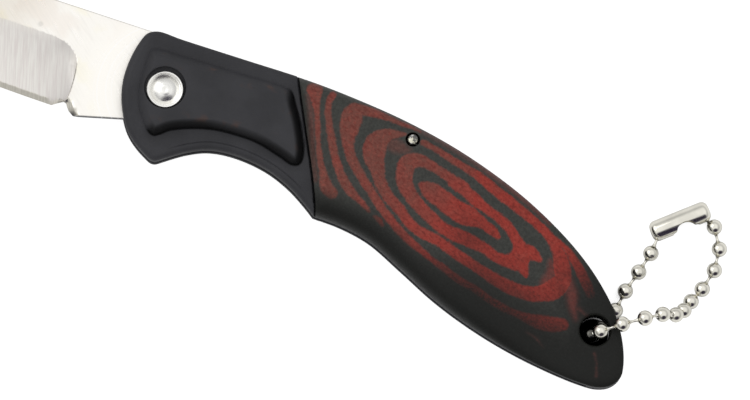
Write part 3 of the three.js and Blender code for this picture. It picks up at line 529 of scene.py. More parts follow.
def relief(loops, top, bottom, rows=(), lines=(), fill=0.8, keep=None):
    """Closed solid over a region of the plane, as vertices, faces and each vertex's place in the plane.

    The first loop is the region's outline and the others are holes. Rows are distances from the loops
    at which more points lie, lines are paths with offsets that the surface follows, and keep leaves
    out part of the region. Top and bottom give the heights at an array of points.
    """
    def within(points):
        found = inside(points, loops[0])
        for hole in loops[1:]:
            found &= ~inside(points, hole)
        return found if keep is None else found & keep(points)

    def rim_gap(points):
        return np.min([distance(points, loop, True) for loop in loops], axis=0)

    laid = []
    edges = []
    for path, closed in [(loop, True) for loop in loops] + [(line[0], line[1]) for line in lines]:
        first = sum(len(part) for part in laid)
        count = len(path)
        edges += [(first + i, first + (i + 1) % count) for i in range(count if closed else count - 1)]
        laid.append(np.asarray(path, float))
    for loop in loops:
        for row in rows:
            for side in (row, -row):
                points = shifted(loop, side, True)
                laid.append(points[within(points) & (rim_gap(points) > ROW_CLEARANCE * row)])
    reach = fill / 2
    for path, closed, offsets in lines:
        for offset in offsets:
            points = shifted(path, offset, closed)
            clear = distance(points, path, closed) > ROW_CLEARANCE * abs(offset)
            laid.append(points[within(points) & clear & (rim_gap(points) > RIM_CLEARANCE)])
    low, high = loops[0].min(axis=0), loops[0].max(axis=0)
    columns = np.arange(low[0], high[0], fill)
    lanes = np.arange(low[1], high[1], fill * TRIANGLE_HEIGHT)
    grid = np.array([(x + reach * (j % 2), y) for j, y in enumerate(lanes) for x in columns])
    clear = within(grid) & (rim_gap(grid) > (max(rows) if len(rows) else 0) + reach)
    for path, closed, offsets in lines:
        clear &= distance(grid, path, closed) > max([abs(d) for d in offsets] + [0]) + reach
    laid.append(grid[clear])

    flat, _, triangles, *_ = delaunay_2d_cdt(
        [Vector(point) for point in np.vstack(laid)], edges, [], 0, JOIN_WITHIN
    )
    flat = np.array([tuple(point) for point in flat])
    triangles = np.array(triangles)
    triangles = triangles[within(flat[triangles].mean(axis=1))]
    a, b, c = (flat[triangles[:, k]] for k in range(3))
    turned_over = np.cross(b - a, c - a) < 0
    triangles[turned_over] = triangles[turned_over][:, ::-1]
    used, renumbered = np.unique(triangles, return_inverse=True)
    flat = flat[used]
    triangles = renumbered.reshape(triangles.shape)
    count = len(flat)
    sides = np.vstack([triangles[:, [0, 1]], triangles[:, [1, 2]], triangles[:, [2, 0]]])
    known = {tuple(side) for side in sides.tolist()}
    rim = [(i, j) for i, j in known if (j, i) not in known]
    vertices = np.vstack([np.column_stack([flat, top(flat)]), np.column_stack([flat, bottom(flat)])])
    faces = triangles.tolist() + (triangles[:, ::-1] + count).tolist()
    faces += [(i, i + count, j + count, j) for i, j in sorted(rim)]
    return vertices, faces, np.vstack([flat, flat])


def level(height):
    """A flat surface at one height, for relief."""
    return lambda points: np.full(len(points), height)


def skin(rings, wrapped=False):
    """Surface through rings of equally many points. Rings on one point close an end."""
    count = len(rings[0])
    total = len(rings)
    faces = []
    for r in range(total if wrapped else total - 1):
        for i in range(count):
            j = (i + 1) % count
            low, high = r * count, (r + 1) % total * count
            faces.append((low + i, low + j, high + j, high + i))
    return np.vstack(rings), faces


def turned(profile, sides=64, closed=False):
    """Solid of revolution about z, from a profile of radii and heights."""
    turn = np.linspace(0, 2 * np.pi, sides, endpoint=False)
    rings = [np.column_stack([r * np.cos(turn), r * np.sin(turn), np.full(sides, z)]) for r, z in profile]
    return skin(rings, closed)


def bar(outline, half, chamfer=0.15, holes=(), fill=1.5):
    """Flat plate about the middle plane, with chamfered edges."""
    loops = [outline, *holes]

    def surface(points):
        gap = np.min([distance(points, loop, True) for loop in loops], axis=0)
        return half - np.clip(chamfer - gap, 0, chamfer)

    return relief(loops, surface, lambda points: -surface(points), [chamfer], fill=fill)[:2]


def end_to_end(half, shared=False):
    """Profile that goes on below as its own mirror image, with its last point shared or not."""
    return half + [(r, -z) for r, z in reversed(half[:-1] if shared else half)]


def clean(mesh, join_within):
    """Joins points that lie together, and turns all faces outwards."""
    shape = bmesh.new()
    shape.from_mesh(mesh)
    bmesh.ops.remove_doubles(shape, verts=shape.verts, dist=join_within)
    bmesh.ops.recalc_face_normals(shape, faces=shape.faces)
    shape.to_mesh(mesh)
    shape.free()


def add_piece(node, solid, material, values=None, sharp=35, mirrored=False):
    """Makes a piece from vertices in millimetres about the pivot, in the place of its CAD node."""
    vertices = solid[0] * np.array([1, 1, -1]) if mirrored else solid[0]
    mesh = bpy.data.meshes.new(node + ".fine")
    mesh.from_pydata((vertices * MM + np.array(PIVOT)).tolist(), [], solid[1])
    for name, numbers in (values or {}).items():
        mesh.attributes.new(name, "FLOAT", "POINT").data.foreach_set("value", numbers.astype(np.float32))
    clean(mesh, PIECE_JOIN_WITHIN)
    mesh.shade_smooth()
    mesh.set_sharp_from_angle(angle=math.radians(sharp))
    mesh.materials.append(material)
    piece = bpy.data.objects.new(mesh.name, mesh)
    bpy.context.scene.collection.objects.link(piece)
    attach(piece, next(body for body, nodes in BODIES.items() if node in nodes))
    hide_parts(node)


# Materials


class Nodes:
    """Adds nodes to a tree, with their inputs set or linked."""

    def __init__(self, tree):
        self.tree = tree

    def feed(self, socket, value):
        """Links a socket to another one, or sets it to a number, colour or vector."""
        if isinstance(value, bpy.types.NodeSocket):
            self.tree.links.new(value, socket)
        elif socket.type == "RGBA":
            socket.default_value = (*value, 1)
        else:
            socket.default_value = value

    def node(self, kind, inputs=None, **settings):
        made = self.tree.nodes.new(kind)
        for name, value in settings.items():
            setattr(made, name, value)
        for name, value in (inputs or {}).items():
            self.feed(made.inputs[name], value)
        return made

    def math(self, operation, a, b=0.0, clamp=False):
        return self.node("ShaderNodeMath", {0: a, 1: b}, operation=operation, use_clamp=clamp).outputs[0]

    def plus(self, a, b, factor, clamp=False):
        """The sum of a and a multiple of b."""
        return self.math("ADD", a, self.math("MULTIPLY", b, factor), clamp)

    def vector(self, operation, a, b=(0, 0, 0), output="Vector"):
        return self.node("ShaderNodeVectorMath", {0: a, 1: b}, operation=operation).outputs[output]

    def span(self, value, low, high, out_low=0.0, out_high=1.0, kind="SMOOTHSTEP"):
        inputs = {"Value": value, "From Min": low, "From Max": high, "To Min": out_low, "To Max": out_high}
        return self.node("ShaderNodeMapRange", inputs, interpolation_type=kind).outputs["Result"]

    def mix(self, share, a, b, blend="MIX"):
        made = self.node("ShaderNodeMix", {0: share}, data_type="RGBA", blend_type=blend)
        self.feed(made.inputs[6], a)
        self.feed(made.inputs[7], b)
        return made.outputs[2]


class Finish(Nodes):
    """A node material under construction."""

    def __init__(self, name, **settings):
        self.material = bpy.data.materials.new(name)
        self.material.use_nodes = True
        super().__init__(self.material.node_tree)
        self.shader = self.tree.nodes["Principled BSDF"]
        for socket, value in settings.items():
            self.shader.inputs[socket.replace("_", " ")].default_value = value
        place = self.node("ShaderNodeTexCoord").outputs["Object"]
        self.place = self.vector("MULTIPLY", place, (1 / MM,) * 3)

    def value(self, name):
        return self.node("ShaderNodeAttribute", attribute_name=name).outputs["Fac"]

    def stretched(self, scale, degrees):
        """The place in millimetres, turned about z and scaled, for streaks."""
        turned_place = self.node(
            "ShaderNodeVectorRotate", {"Vector": self.place, "Angle": math.radians(degrees)},
            rotation_type="Z_AXIS",
        ).outputs[0]
        return self.vector("MULTIPLY", turned_place, scale)

    def noise(self, scale, detail=2.0, roughness=0.5, place=None):
        inputs = {"Vector": place or self.place, "Scale": scale, "Detail": detail, "Roughness": roughness}
        return self.node("ShaderNodeTexNoise", inputs).outputs["Fac"]

    def bump(self, height, strength, depth):
        inputs = {"Height": height, "Strength": strength, "Distance": depth * MM}
        return self.node("ShaderNodeBump", inputs).outputs["Normal"]

    def set(self, **links):
        for socket, value in links.items():
            self.tree.links.new(value, self.shader.inputs[socket.replace("_", " ")])
        return self.material


def seen(red, green, blue):
    """A colour as the eye sees it on a screen, from 0 to 255, as a scene colour."""
    shares = [channel / 255 for channel in (red, green, blue)]
    return tuple(s / 12.92 if s <= 0.04045 else ((s + 0.055) / 1.055) ** 2.4 for s in shares)


def shade(colour, factor):
    """A colour made lighter or darker."""
    return tuple(min(1.0, channel * factor) for channel in colour)


def tinted(colour, *factors):
    """A colour with its red, green and blue scaled each on its own."""
    return tuple(channel * factor for channel, factor in zip(colour, factors))


def moulding(name, colour):
    """Fine-textured black moulding, lighter and browner in patches along the plateau's brow."""
    f = Finish(name, Specular_IOR_Level=0.16)
    grain = f.noise(3.2, 4, 0.62)
    speck = f.noise(11, 2)
    cloud = f.noise(0.22, 3)
    base = f.mix(f.span(cloud, 0.3, 0.7), shade(colour, 0.9), shade(colour, 1.12))
    base = f.mix(f.span(speck, 0.55, 0.75, 0, 0.4), base, shade(colour, 1.7))
    base = f.mix(f.span(speck, 0.45, 0.3, 0, 0.4), base, shade(colour, 0.6))
    # Lighter and browner in patches along the plateau's brow
    lightened = f.math("MULTIPLY", f.value("worn"), f.span(f.noise(0.45, 3), 0.54, 0.7))
    base = f.mix(lightened, base, tinted(colour, 1.65, 1.15, 0.95))
    # Painted shade: darker on the plateau's slope turned from the light, and inside the lanyard hole
    base = f.mix(f.value("dark"), base, shade(colour, 0.16))
    rough = f.span(grain, 0.3, 0.7, 0.46, 0.6)
    return f.set(Base_Color=base, Roughness=rough, Normal=f.bump(f.plus(grain, speck, 0.35), 0.35, 0.03))


def laminate(name, red, black):
    """Red and black veneers pressed together, carved so that the layers show as rings."""
    f = Finish(name, Specular_IOR_Level=0.15)
    fuzz = f.math("SUBTRACT", f.noise(3.4, 4, 0.65), 0.5)
    wave = f.math("SUBTRACT", f.noise(0.8, 3), 0.5)
    drift = f.math("SUBTRACT", f.noise(0.3, 3), 0.5)
    fibres = f.noise(1.0, 3, 0.6, f.stretched((1.3, 2.4, 2), 20))
    specks = f.noise(2.2, 3, 0.65)

    vivid = f.plus(f.value("vivid"), drift, 1.6, clamp=True)
    red_wood = f.mix(vivid, tinted(red, 0.7, 1.75, 1.7), tinted(red, 1.3, 1.15, 1.05))
    red_wood = f.mix(f.span(fibres, 0.46, 0.66, 0, 0.5), red_wood, shade(red, 0.5))
    red_wood = f.mix(f.span(specks, 0.5, 0.66, 0, 0.28), red_wood, tinted(red, 1.6, 2.6, 2.4))
    red_wood = f.mix(f.span(specks, 0.48, 0.34, 0, 0.32), red_wood, shade(red, 0.5))
    black_wood = f.mix(f.span(specks, 0.3, 0.7), shade(black, 0.8), shade(black, 1.2))
    black_wood = f.mix(f.span(fibres, 0.55, 0.8, 0, 0.35), black_wood, tinted(black, 1.9, 1.25, 1.1))

    layer = f.plus(f.plus(f.value("red_layer"), fuzz, 0.55), wave, 0.4)
    fleck = f.plus(f.value("faint_layer"), fuzz, 0.8)
    share = f.math("MAXIMUM", f.span(layer, -0.22, 0.2), f.span(fleck, -0.5, 0.7, 0, 0.45))
    # The attribute dark holds the belly and butt stain, and painted shade inside the lanyard hole
    stain_and_shade = f.plus(f.value("dark"), fuzz, 0.6, clamp=True)
    stain_and_shade = f.math("MULTIPLY", stain_and_shade, f.span(fleck, 0.0, 0.8, 1, 0.45))
    base = f.mix(stain_and_shade, f.mix(share, black_wood, red_wood), shade(black, 0.27))
    rough = f.span(fibres, 0.3, 0.7, 0.4, 0.52)
    return f.set(Base_Color=base, Roughness=rough, Normal=f.bump(f.plus(fibres, share, 0.2), 0.18, 0.02))


def blade_steel(name, colour):
    """Satin flats, and a hollow grind whose wheel marks run across the blade."""
    f = Finish(name, Metallic=1.0)
    ground = f.value("ground")
    marks = f.noise(1.0, 3, 0.6, f.stretched((3.6, 0.14, 1), -15))
    fine = f.noise(1.0, 2, 0.5, f.stretched((9, 0.4, 1), -15))
    streaks = f.noise(1.0, 3, 0.6, f.stretched((0.25, 2.6, 1), 40))
    cloud = f.noise(0.16, 3)
    from_pivot = f.vector("MULTIPLY", f.vector("SUBTRACT", f.place, tuple(PIVOT / MM)), (1, 1, 0))
    radius = f.vector("LENGTH", from_pivot, output="Value")
    from_spot = f.vector("DISTANCE", from_pivot, GREY_SPOT, "Value")

    flat = f.mix(f.span(cloud, 0.35, 0.5), tinted(colour, 0.96, 0.935, 0.92), colour)
    flat = f.mix(f.span(cloud, 0.52, 0.66), flat, tinted(colour, 1.0, 0.985, 0.89))
    flat = f.mix(f.span(streaks, 0.42, 0.75, 0, 0.4), flat, shade(colour, 0.86))
    flat = f.mix(f.span(radius, 18.5, 27.5), flat, (0.86, 0.835, 0.8), "MULTIPLY")
    flat = f.mix(f.span(radius, 15, 9.5), flat, shade(colour, 1.03))
    flat = f.mix(f.span(from_spot, 0.6, 0.15, 0, 0.35), flat, shade(colour, 0.5))

    hollow = f.mix(f.span(marks, 0.35, 0.7), shade(colour, 0.86), tinted(colour, 0.77, 0.74, 0.75))
    hollow = f.mix(f.span(fine, 0.4, 0.75, 0, 0.3), hollow, shade(colour, 0.65))
    # Painted shade: the hollow is darker by the plunge, in place of its darker reflection there
    hollow = f.mix(f.value("run_out"), hollow, tinted(colour, 0.42, 0.41, 0.42))
    bevel = f.mix(f.span(fine, 0.3, 0.7), shade(colour, 0.78), shade(colour, 0.55))
    bevel = f.mix(0.4, bevel, tinted(colour, 0.68, 0.65, 0.54))

    inputs = {"W": f.math("MULTIPLY", radius, 2.4), "Scale": 1.0, "Detail": 3}
    rings = f.node("ShaderNodeTexNoise", inputs, noise_dimensions="1D").outputs["Fac"]
    by_washer = f.math("MULTIPLY", f.span(radius, 7.4, 8.4), f.span(radius, 11.5, 9.8))
    lightened = f.math("MULTIPLY", f.span(rings, 0.5, 0.64), by_washer)
    base = f.mix(f.value("bevel"), f.mix(ground, flat, hollow), bevel)
    base = f.mix(f.value("shaded"), base, (0.03, 0.032, 0.05))
    base = f.mix(f.math("MULTIPLY", lightened, 0.4), base, (0.99, 0.99, 1.0))

    rough_flat = f.span(streaks, 0.3, 0.7, 0.27, 0.37)
    rough_hollow = f.span(marks, 0.3, 0.7, 0.32, 0.42)
    rough = f.node("ShaderNodeMix", {0: ground, 2: rough_flat, 3: rough_hollow}).outputs[0]
    lines = f.node("ShaderNodeMix", {0: ground, 2: streaks, 3: f.math("ADD", marks, fine)}).outputs[0]
    return f.set(Base_Color=base, Roughness=rough, Normal=f.bump(lines, 0.08, 0.01))


def plain_metal(name, colour, low, high, grain=6.0, bump=0.1):
    """Metal with a fine uneven finish, slightly varied colour and a roughness between low and high."""
    f = Finish(name, Metallic=1.0)
    cloud = f.noise(0.5, 3)
    fine = f.noise(grain, 3, 0.6)
    base = f.mix(f.span(cloud, 0.35, 0.65), shade(colour, 0.93), shade(colour, 1.04))
    # Painted shade where a bead lies deep in the lanyard hole
    base = f.mix(f.value("grimy"), base, shade(colour, 0.03))
    rough = f.span(fine, 0.3, 0.7, low, high)
    return f.set(Base_Color=base, Roughness=rough, Normal=f.bump(fine, bump, 0.01))


def pitted_metal(name, colour):
    """Bright metal with dull pits about a third of a millimetre wide."""
    f = Finish(name, Metallic=1.0)
    pits = f.noise(1.9, 3, 0.6)
    base = f.mix(f.span(pits, 0.44, 0.58), shade(colour, 0.16), tinted(colour, 0.78, 0.76, 0.64))
    base = f.mix(f.span(f.noise(1.1, 2), 0.5, 0.62), base, colour)
    return f.set(Base_Color=base, Roughness=f.span(pits, 0.3, 0.7, 0.5, 0.3), Normal=f.bump(pits, 0.5, 0.03))


def finish(name, make, *settings):
    """The finish of that name, made on first use."""
    name = "fine_" + name
    return bpy.data.materials.get(name) or make(name, *settings)


def moulded_black():
    """Finish of both halves and the spacer."""
    return finish("moulded_black", moulding, chosen("plastic"))


def lock_steel():
    """Finish of the lock bar, its spring and the hidden rivets."""
    return finish("lock_steel", plain_metal, chosen("lock"), 0.3, 0.45)


def nickel():
    """Finish of the ball chain."""
    return finish("chain_nickel", plain_metal, chosen("nickel"), 0.1, 0.18, 7.0, 0.06)


# Settings that a user would change


def colour_property(label, default, words):
    return bpy.props.FloatVectorProperty(
        name=label, description=words, subtype="COLOR", size=3, min=0, max=1, default=default
    )


def length_property(label, default, words):
    return bpy.props.FloatProperty(
        name=label, description=words, default=default * MM, min=0, unit="LENGTH", precision=5
    )


def angle_property(label, degrees, words):
    return bpy.props.FloatProperty(
        name=label, description=words, default=math.radians(degrees), subtype="ANGLE"
    )


def light_property(label, default, words, unit="NONE"):
    return bpy.props.FloatProperty(name=label, description=words, default=default, min=0, unit=unit)


class KnifeSizes(bpy.types.PropertyGroup):
    """Rounds, grooves and chamfers of the pieces"""

    border_round: length_property("Border Round", 1.0, "Radius of the bolster's outer edge")
    shoulder: length_property("Plateau Shoulder", 1.35, "Radius of the raised plateau's edge")
    root_groove: length_property("Root Groove", 0.22, "Depth of the groove at the foot of the plateau")
    crease_depth: length_property("Crease Depth", 0.12, "Depth of the crease along the bolster's belly")
    panel_shoulder: length_property("Panel Shoulder", 3.4, "Width over which a grip panel rounds off")
    panel_chamfer: length_property("Panel Chamfer", 0.9, "Bevel on the front edge of a grip panel")
    hole_round: length_property("Hole Round", 0.45, "Radius of the lanyard hole's edge")
    spine_chamfer: length_property("Spine Chamfer", 0.18, "Chamfer along the blade's back")
    grid: length_property("Pattern Grid", 0.3, "Spacing of the points that carry the laminate's layers")


class KnifeColours(bpy.types.PropertyGroup):
    """Main colour of each material"""

    plastic: colour_property("Moulding", seen(53, 53, 56), "Black moulded halves and spacer")
    red: colour_property("Red Veneer", seen(129, 48, 42), "Red layers of the grip panels")
    black: colour_property("Black Veneer", seen(57, 58, 55), "Black layers of the grip panels")
    steel: colour_property("Blade Steel", seen(250, 247, 241), "Satin steel of the blade")
    lock: colour_property("Lock Steel", seen(168, 170, 172), "Lock bar, spring and hidden rivets")
    rivet: colour_property("Rivet Steel", seen(246, 245, 241), "Polished rivet heads and rocker pin")
    bronze: colour_property("Bronze", seen(190, 148, 96), "Washers beside the blade")
    nickel: colour_property("Nickel", seen(232, 229, 218), "Ball chain and its connector")


class KnifeStage(bpy.types.PropertyGroup):
    """Camera and light"""

    view_width: length_property("View Width", 112.5, "Width of the picture at the knife's upper face")
    distance: length_property("Camera Distance", 2400, "Distance of the camera from the knife")
    tilt: angle_property("Tilt", 4.5, "Lean of the camera towards the belly")
    turn: angle_property("Turn", 17.7, "Angle of the knife in the picture")
    world_level: light_property("Room Light", 0.85, "Even light from all round")
    lamp_power: light_property("Lamp Power", 0.85, "Power of the soft lamp over the knife", "POWER")


def sizes():
    return bpy.context.scene.knife_sizes


def chosen(name):
    """The colour that is set under a name."""
    return tuple(getattr(bpy.context.scene.knife_colours, name))


def mm(length):
    return length / MM


# Heights of the moulded halves and the grip panels


def shell_height(points):
    """Outer surface of a moulded half: border, raised plateau, rivet recess and the plate under the panel."""
    s = sizes()
    border_round = mm(s.border_round)
    border = BORDER_TOP - round_drop(distance(points, HANDLE, True), border_round)
    along = ease(points[:, 0], *CREASE_START) * (1 - ease(points[:, 0], *CREASE_END))
    from_crease = distance(points, BELLY, False) - border_round - CREASE_INSET
    border = border - mm(s.crease_depth) * np.exp(-(from_crease / CREASE_WIDTH) ** 2) * along
    raised_by = depth_in(points, PLATEAU_EDGE)
    slope = np.clip(raised_by / mm(s.shoulder), 0, 1)
    rise = (1 + SHOULDER_OVERSHOOT) * slope - SHOULDER_OVERSHOOT * slope ** SHOULDER_POWER
    height = np.where(raised_by > 0, BORDER_TOP + (FACE - BORDER_TOP) * rise, border)
    groove = np.exp(-((raised_by + ROOT_INSET) / ROOT_WIDTH) ** 2)
    groove = groove * (LIT_ROOT_SHARE + (1 - LIT_ROOT_SHARE) * away_from_light(points))
    height = height - mm(s.root_groove) * groove
    from_rivet = np.hypot(*(points - RIVET_RECESS_CENTRE).T)
    chamfer = RIVET_RECESS + RIVET_RECESS_WALL + RIVET_RECESS_CHAMFER - from_rivet
    height = height - RIVET_RECESS_CHAMFER_SLOPE * np.clip(chamfer, 0, RIVET_RECESS_CHAMFER)
    height = np.where(from_rivet < RIVET_RECESS + RIVET_RECESS_WALL / 2, RIVET_RECESS_FLOOR, height)
    behind = behind_joint(points)
    height = height - round_drop(np.clip(-behind, 0, None), JOINT_ROUND) * (behind < 0)
    return np.where(behind > JOINT_WALL / 2, PLATE_TOP, height)


def away_from_light(points):
    """Share by which a point by the plateau's edge is on its lower or rear side."""
    x, y = points.T
    below = -y - SHADED_FRONT_DELAY * (1 - ease(x, *SHADED_FRONT))
    return np.maximum(ease(below, *SHADED_BELOW), ease(x, *SHADED_REAR))


def in_lanyard_hole(points):
    """Share by which a point belongs to the lanyard hole's inside, where shade is painted."""
    return 1 - ease(np.hypot(*(points - LANYARD).T) - LANYARD_HOLE, 0.0, LANYARD_DARK_EDGE)


def butt_holes():
    """Lanyard hole and hidden rivets."""
    return [circle(LANYARD, LANYARD_HOLE)] + [circle(p, HIDDEN_RIVET + SEAT, 24) for p in HIDDEN_RIVETS]


class KNIFE_OT_add_shells(bpy.types.Operator):
    """Adds both moulded halves"""

    bl_idname = "knife.add_shells"
    bl_label = "Moulded Halves"
    bl_options = {"REGISTER", "UNDO"}

    def execute(self, context):
        shoulder = mm(sizes().shoulder)
        border_round = mm(sizes().border_round)
        loops = [HANDLE, circle((0, 0), SLEEVE + SEAT), circle(ROCKER, ROCKER_PIN + SEAT, 24), *butt_holes()]
        rows = round_rows(border_round)[:-1]
        rows += [border_round + CREASE_INSET + d for d in CREASE_ROWS]
        side = np.sign(signed_area(PLATEAU_EDGE))
        offsets = [*ROOT_ROWS, *(shoulder * share for share in SHOULDER_ROWS)]
        lines = [
            (PLATEAU_EDGE, True, [side * offset for offset in offsets]),
            (JOINT, False, [-0.2, -0.1, -0.04]),
            (JOINT + np.array([JOINT_WALL, 0]), False, []),
            (circle(RIVET_RECESS_CENTRE, RIVET_RECESS), True, []),
            (circle(RIVET_RECESS_CENTRE, RIVET_RECESS + RIVET_RECESS_WALL), True, [-RIVET_RECESS_CHAMFER]),
        ]
        vertices, faces, flat = relief(loops, shell_height, level(INNER), rows, lines, fill=1.1)
        raised_by = depth_in(flat, PLATEAU_EDGE)
        slope = (1 - ease(raised_by, *shoulder * np.array(DARK_SLOPE_END))) * ease(raised_by, *DARK_FOOT)
        brow = ease(raised_by, *shoulder * np.array(PATCHED_BROW))
        # dark is painted shade, on the plateau's slope turned from the light and inside the lanyard hole
        values = {
            "dark": np.maximum(slope * away_from_light(flat), in_lanyard_hole(flat)),
            "worn": brow * (1 - ease(raised_by, *shoulder * np.array(PATCHED_BROW_END))),
        }
        for node, mirrored in (("front_shell", False), ("rear_shell", True)):
            add_piece(node, (vertices, faces), moulded_black(), values, mirrored=mirrored)
        return {"FINISHED"}


def panel_height(points):
    """Crown of a grip panel, thinner towards the butt, with its front bevel and rounded holes."""
    s = sizes()
    top = FACE + (BUTT_HALF - FACE) * ease(points[:, 0], *BUTT_TAPER)
    rim = distance(points, HANDLE, True)
    reach = np.clip(1 - rim / mm(s.panel_shoulder), 0, 1)
    inward, upward = PANEL_SHOULDER_POWERS
    shoulder = np.maximum(1 - reach ** inward, 0) ** (1 / upward)
    crown = 1 - PANEL_CROWN * (1 - ease(rim, 0, PANEL_CROWN_REACH))
    height = PANEL_BED + (top - PANEL_BED) * shoulder * crown
    height = np.minimum(height, FACE - mm(s.panel_chamfer) + behind_joint(points, PANEL_GAP))
    from_hole = np.hypot(*(points - LANYARD).T) - LANYARD_HOLE
    from_pin = np.hypot(*(points - ROCKER).T) - ROCKER_RECESS
    return height - round_drop(from_hole, mm(s.hole_round)) - round_drop(from_pin, ROCKER_RECESS_ROUND)


def within_strokes(points, strokes):
    """Signed distance from the nearest stroke's edge, positive inside it."""
    best = np.full(len(points), -STROKE_REACH)
    for stroke in strokes.values():
        path = smooth(stroke, 4)
        for (ax, ay, aw), (bx, by, bw) in zip(path, path[1:]):
            run = np.array([bx - ax, by - ay])
            offset = points - np.array([ax, ay])
            share = np.clip((offset @ run) / max(run @ run, 1e-9), 0, 1)
            gap = np.hypot(*(offset - share[:, None] * run).T)
            best = np.maximum(best, (aw + (bw - aw) * share) / 2 - gap)
    return best


def stain(points):
    """How far the dark stain along the belly and the butt covers the layers."""
    belly = distance(points, STAINED_BELLY, False)
    widening = ease(points[:, 0], *STAIN_WIDENS)
    full = STAIN_FULL + STAIN_FULL_GROWTH * widening
    at_belly = 1 - ease(belly, full, STAIN_FADE + STAIN_FADE_GROWTH * widening)
    at_butt = ease(points[:, 0] - STAIN_BUTT_LEAN * points[:, 1], *STAIN_AT_BUTT)
    at_back = STAIN_AT_BACK * (1 - ease(distance(points, HANDLE, True), *STAIN_BACK_WIDTH))
    scuffed = SCUFF_SHARE * np.exp(-((points - SCUFF) ** 2).sum(axis=1) / SCUFF_REACH ** 2)
    return np.clip(np.maximum.reduce([at_belly, at_butt, scuffed, at_back]), 0, 1)


def freshness(points):
    """How vivid the red layers are, which is least at the panel's upper front."""
    x, y = points.T
    return ease(x - VIVID_LEAN * y, *VIVID_FROM)


class KNIFE_OT_add_panels(bpy.types.Operator):
    """Adds both grip panels, the rear one with its layers drawn a little differently"""

    bl_idname = "knife.add_panels"
    bl_label = "Grip Panels"
    bl_options = {"REGISTER", "UNDO"}

    def execute(self, context):
        s = sizes()
        material = finish("laminated_wood", laminate, chosen("red"), chosen("black"))
        foot = JOINT + np.array([PANEL_GAP, 0])
        brow = foot + np.array([mm(s.panel_chamfer), 0])
        loops = [HANDLE, circle(LANYARD, LANYARD_HOLE), circle(ROCKER, ROCKER_RECESS, 32)]
        lines = [(foot, False, []), (brow, False, [-0.15, 0.15])]
        lines += [(circle(LANYARD, LANYARD_HOLE + d), True, []) for d in round_rows(mm(s.hole_round), 5)]
        vertices, faces, flat = relief(
            loops, panel_height, level(PANEL_BED), PANEL_ROWS, lines, fill=mm(s.grid),
            keep=lambda points: behind_joint(points, PANEL_GAP) > -PANEL_TOLERANCE,
        )
        sway_x = REAR_SWAY_X[0] * np.sin(flat[:, 1] / REAR_SWAY_X[1])
        sway_y = REAR_SWAY_Y[0] * np.sin(flat[:, 0] / REAR_SWAY_Y[1])
        swayed = flat + np.column_stack([sway_x, sway_y])
        # dark: the wood's stain, with painted shade inside the lanyard hole
        values = {"dark": np.maximum(stain(flat), in_lanyard_hole(flat)), "vivid": freshness(flat)}
        for node, drawn, mirrored in (("front_grip_panel", flat, False), ("rear_grip_panel", swayed, True)):
            values["red_layer"] = within_strokes(drawn, RED_LAYERS)
            values["faint_layer"] = within_strokes(drawn, FAINT_RED)
            add_piece(node, (vertices, faces), material, values, 40, mirrored)
        return {"FINISHED"}


class KNIFE_OT_add_spacer(bpy.types.Operator):
    """Adds the spacer that closes the butt between the halves"""

    bl_idname = "knife.add_spacer"
    bl_label = "Butt Spacer"
    bl_options = {"REGISTER", "UNDO"}

    def execute(self, context):
        outline = shifted(HANDLE, SEAT * HANDLE_INWARDS, True)
        front = evenly(np.array(SPACER_FRONT, float), OUTLINE_STEP)
        region = np.vstack([front, SPACER_REAR])
        pocket = strip(SPRING_LINE, SPRING_POCKET, SPRING_POCKET_ENDS)
        half = INNER - SEAT
        vertices, faces, flat = relief(
            [outline, *butt_holes()], level(half), level(-half),
            lines=[(front, False, []), (pocket, True, [])],
            keep=lambda points: inside(points, region) & ~inside(points, pocket),
        )
        # dark: painted shade inside the lanyard hole
        values = {"dark": in_lanyard_hole(flat)}
        add_piece("butt_spacer", (vertices, faces), moulded_black(), values)
        return {"FINISHED"}


def strip(line, width, extra=0.0):
    """Outline of a strip of constant width along a line, with lengthened ends."""
    path = smooth(line, 6)
    ends = path[[1, -2]]
    path[0] += extra * (path[0] - ends[0]) / np.linalg.norm(path[0] - ends[0])
    path[-1] += extra * (path[-1] - ends[1]) / np.linalg.norm(path[-1] - ends[1])
    return np.vstack([shifted(path, width / 2, False), shifted(path, -width / 2, False)[::-1]])


class KNIFE_OT_add_spring(bpy.types.Operator):
    """Adds the leaf spring under the lock bar's tail"""

    bl_idname = "knife.add_spring"
    bl_label = "Lock Spring"
    bl_options = {"REGISTER", "UNDO"}

    def execute(self, context):
        solid = bar(strip(SPRING_LINE, SPRING_THICKNESS), SPRING_HALF, SPRING_CHAMFER)
        add_piece("lock_spring", solid, lock_steel())
        return {"FINISHED"}


def head_profile():
    """Rivet head from its axis out: swirled centre, low dome, groove, bright rim and the seat."""
    top = FACE - 0.1
    rim = RIVET_HEAD
    centre = [(0, -0.1), (0.2, -0.09), (0.42, -0.02), (0.62, -0.03), (0.8, -0.12)]
    dome = [(r, -0.1675 * r * r) for r in np.linspace(0.95, 1.7, 5)]
    edge, low = dome[-1]
    dome += [(edge + d, low - 0.57 * d) for d in (0.18, 0.36, 0.5)]
    wall = [(0.8 * rim, low - 0.31), (0.825 * rim, low - 0.29), (0.84 * rim, -0.5), (0.855 * rim, -0.1)]
    ring = [(0.87 * rim, -0.03), (0.89 * rim, 0), (0.94 * rim, 0), (0.965 * rim, -0.05)]
    ring += [(0.985 * rim, -0.14), (rim, -0.3)]
    return [(r, top + drop) for r, drop in centre + dome + wall + ring] + [(rim, RIVET_SEAT)]


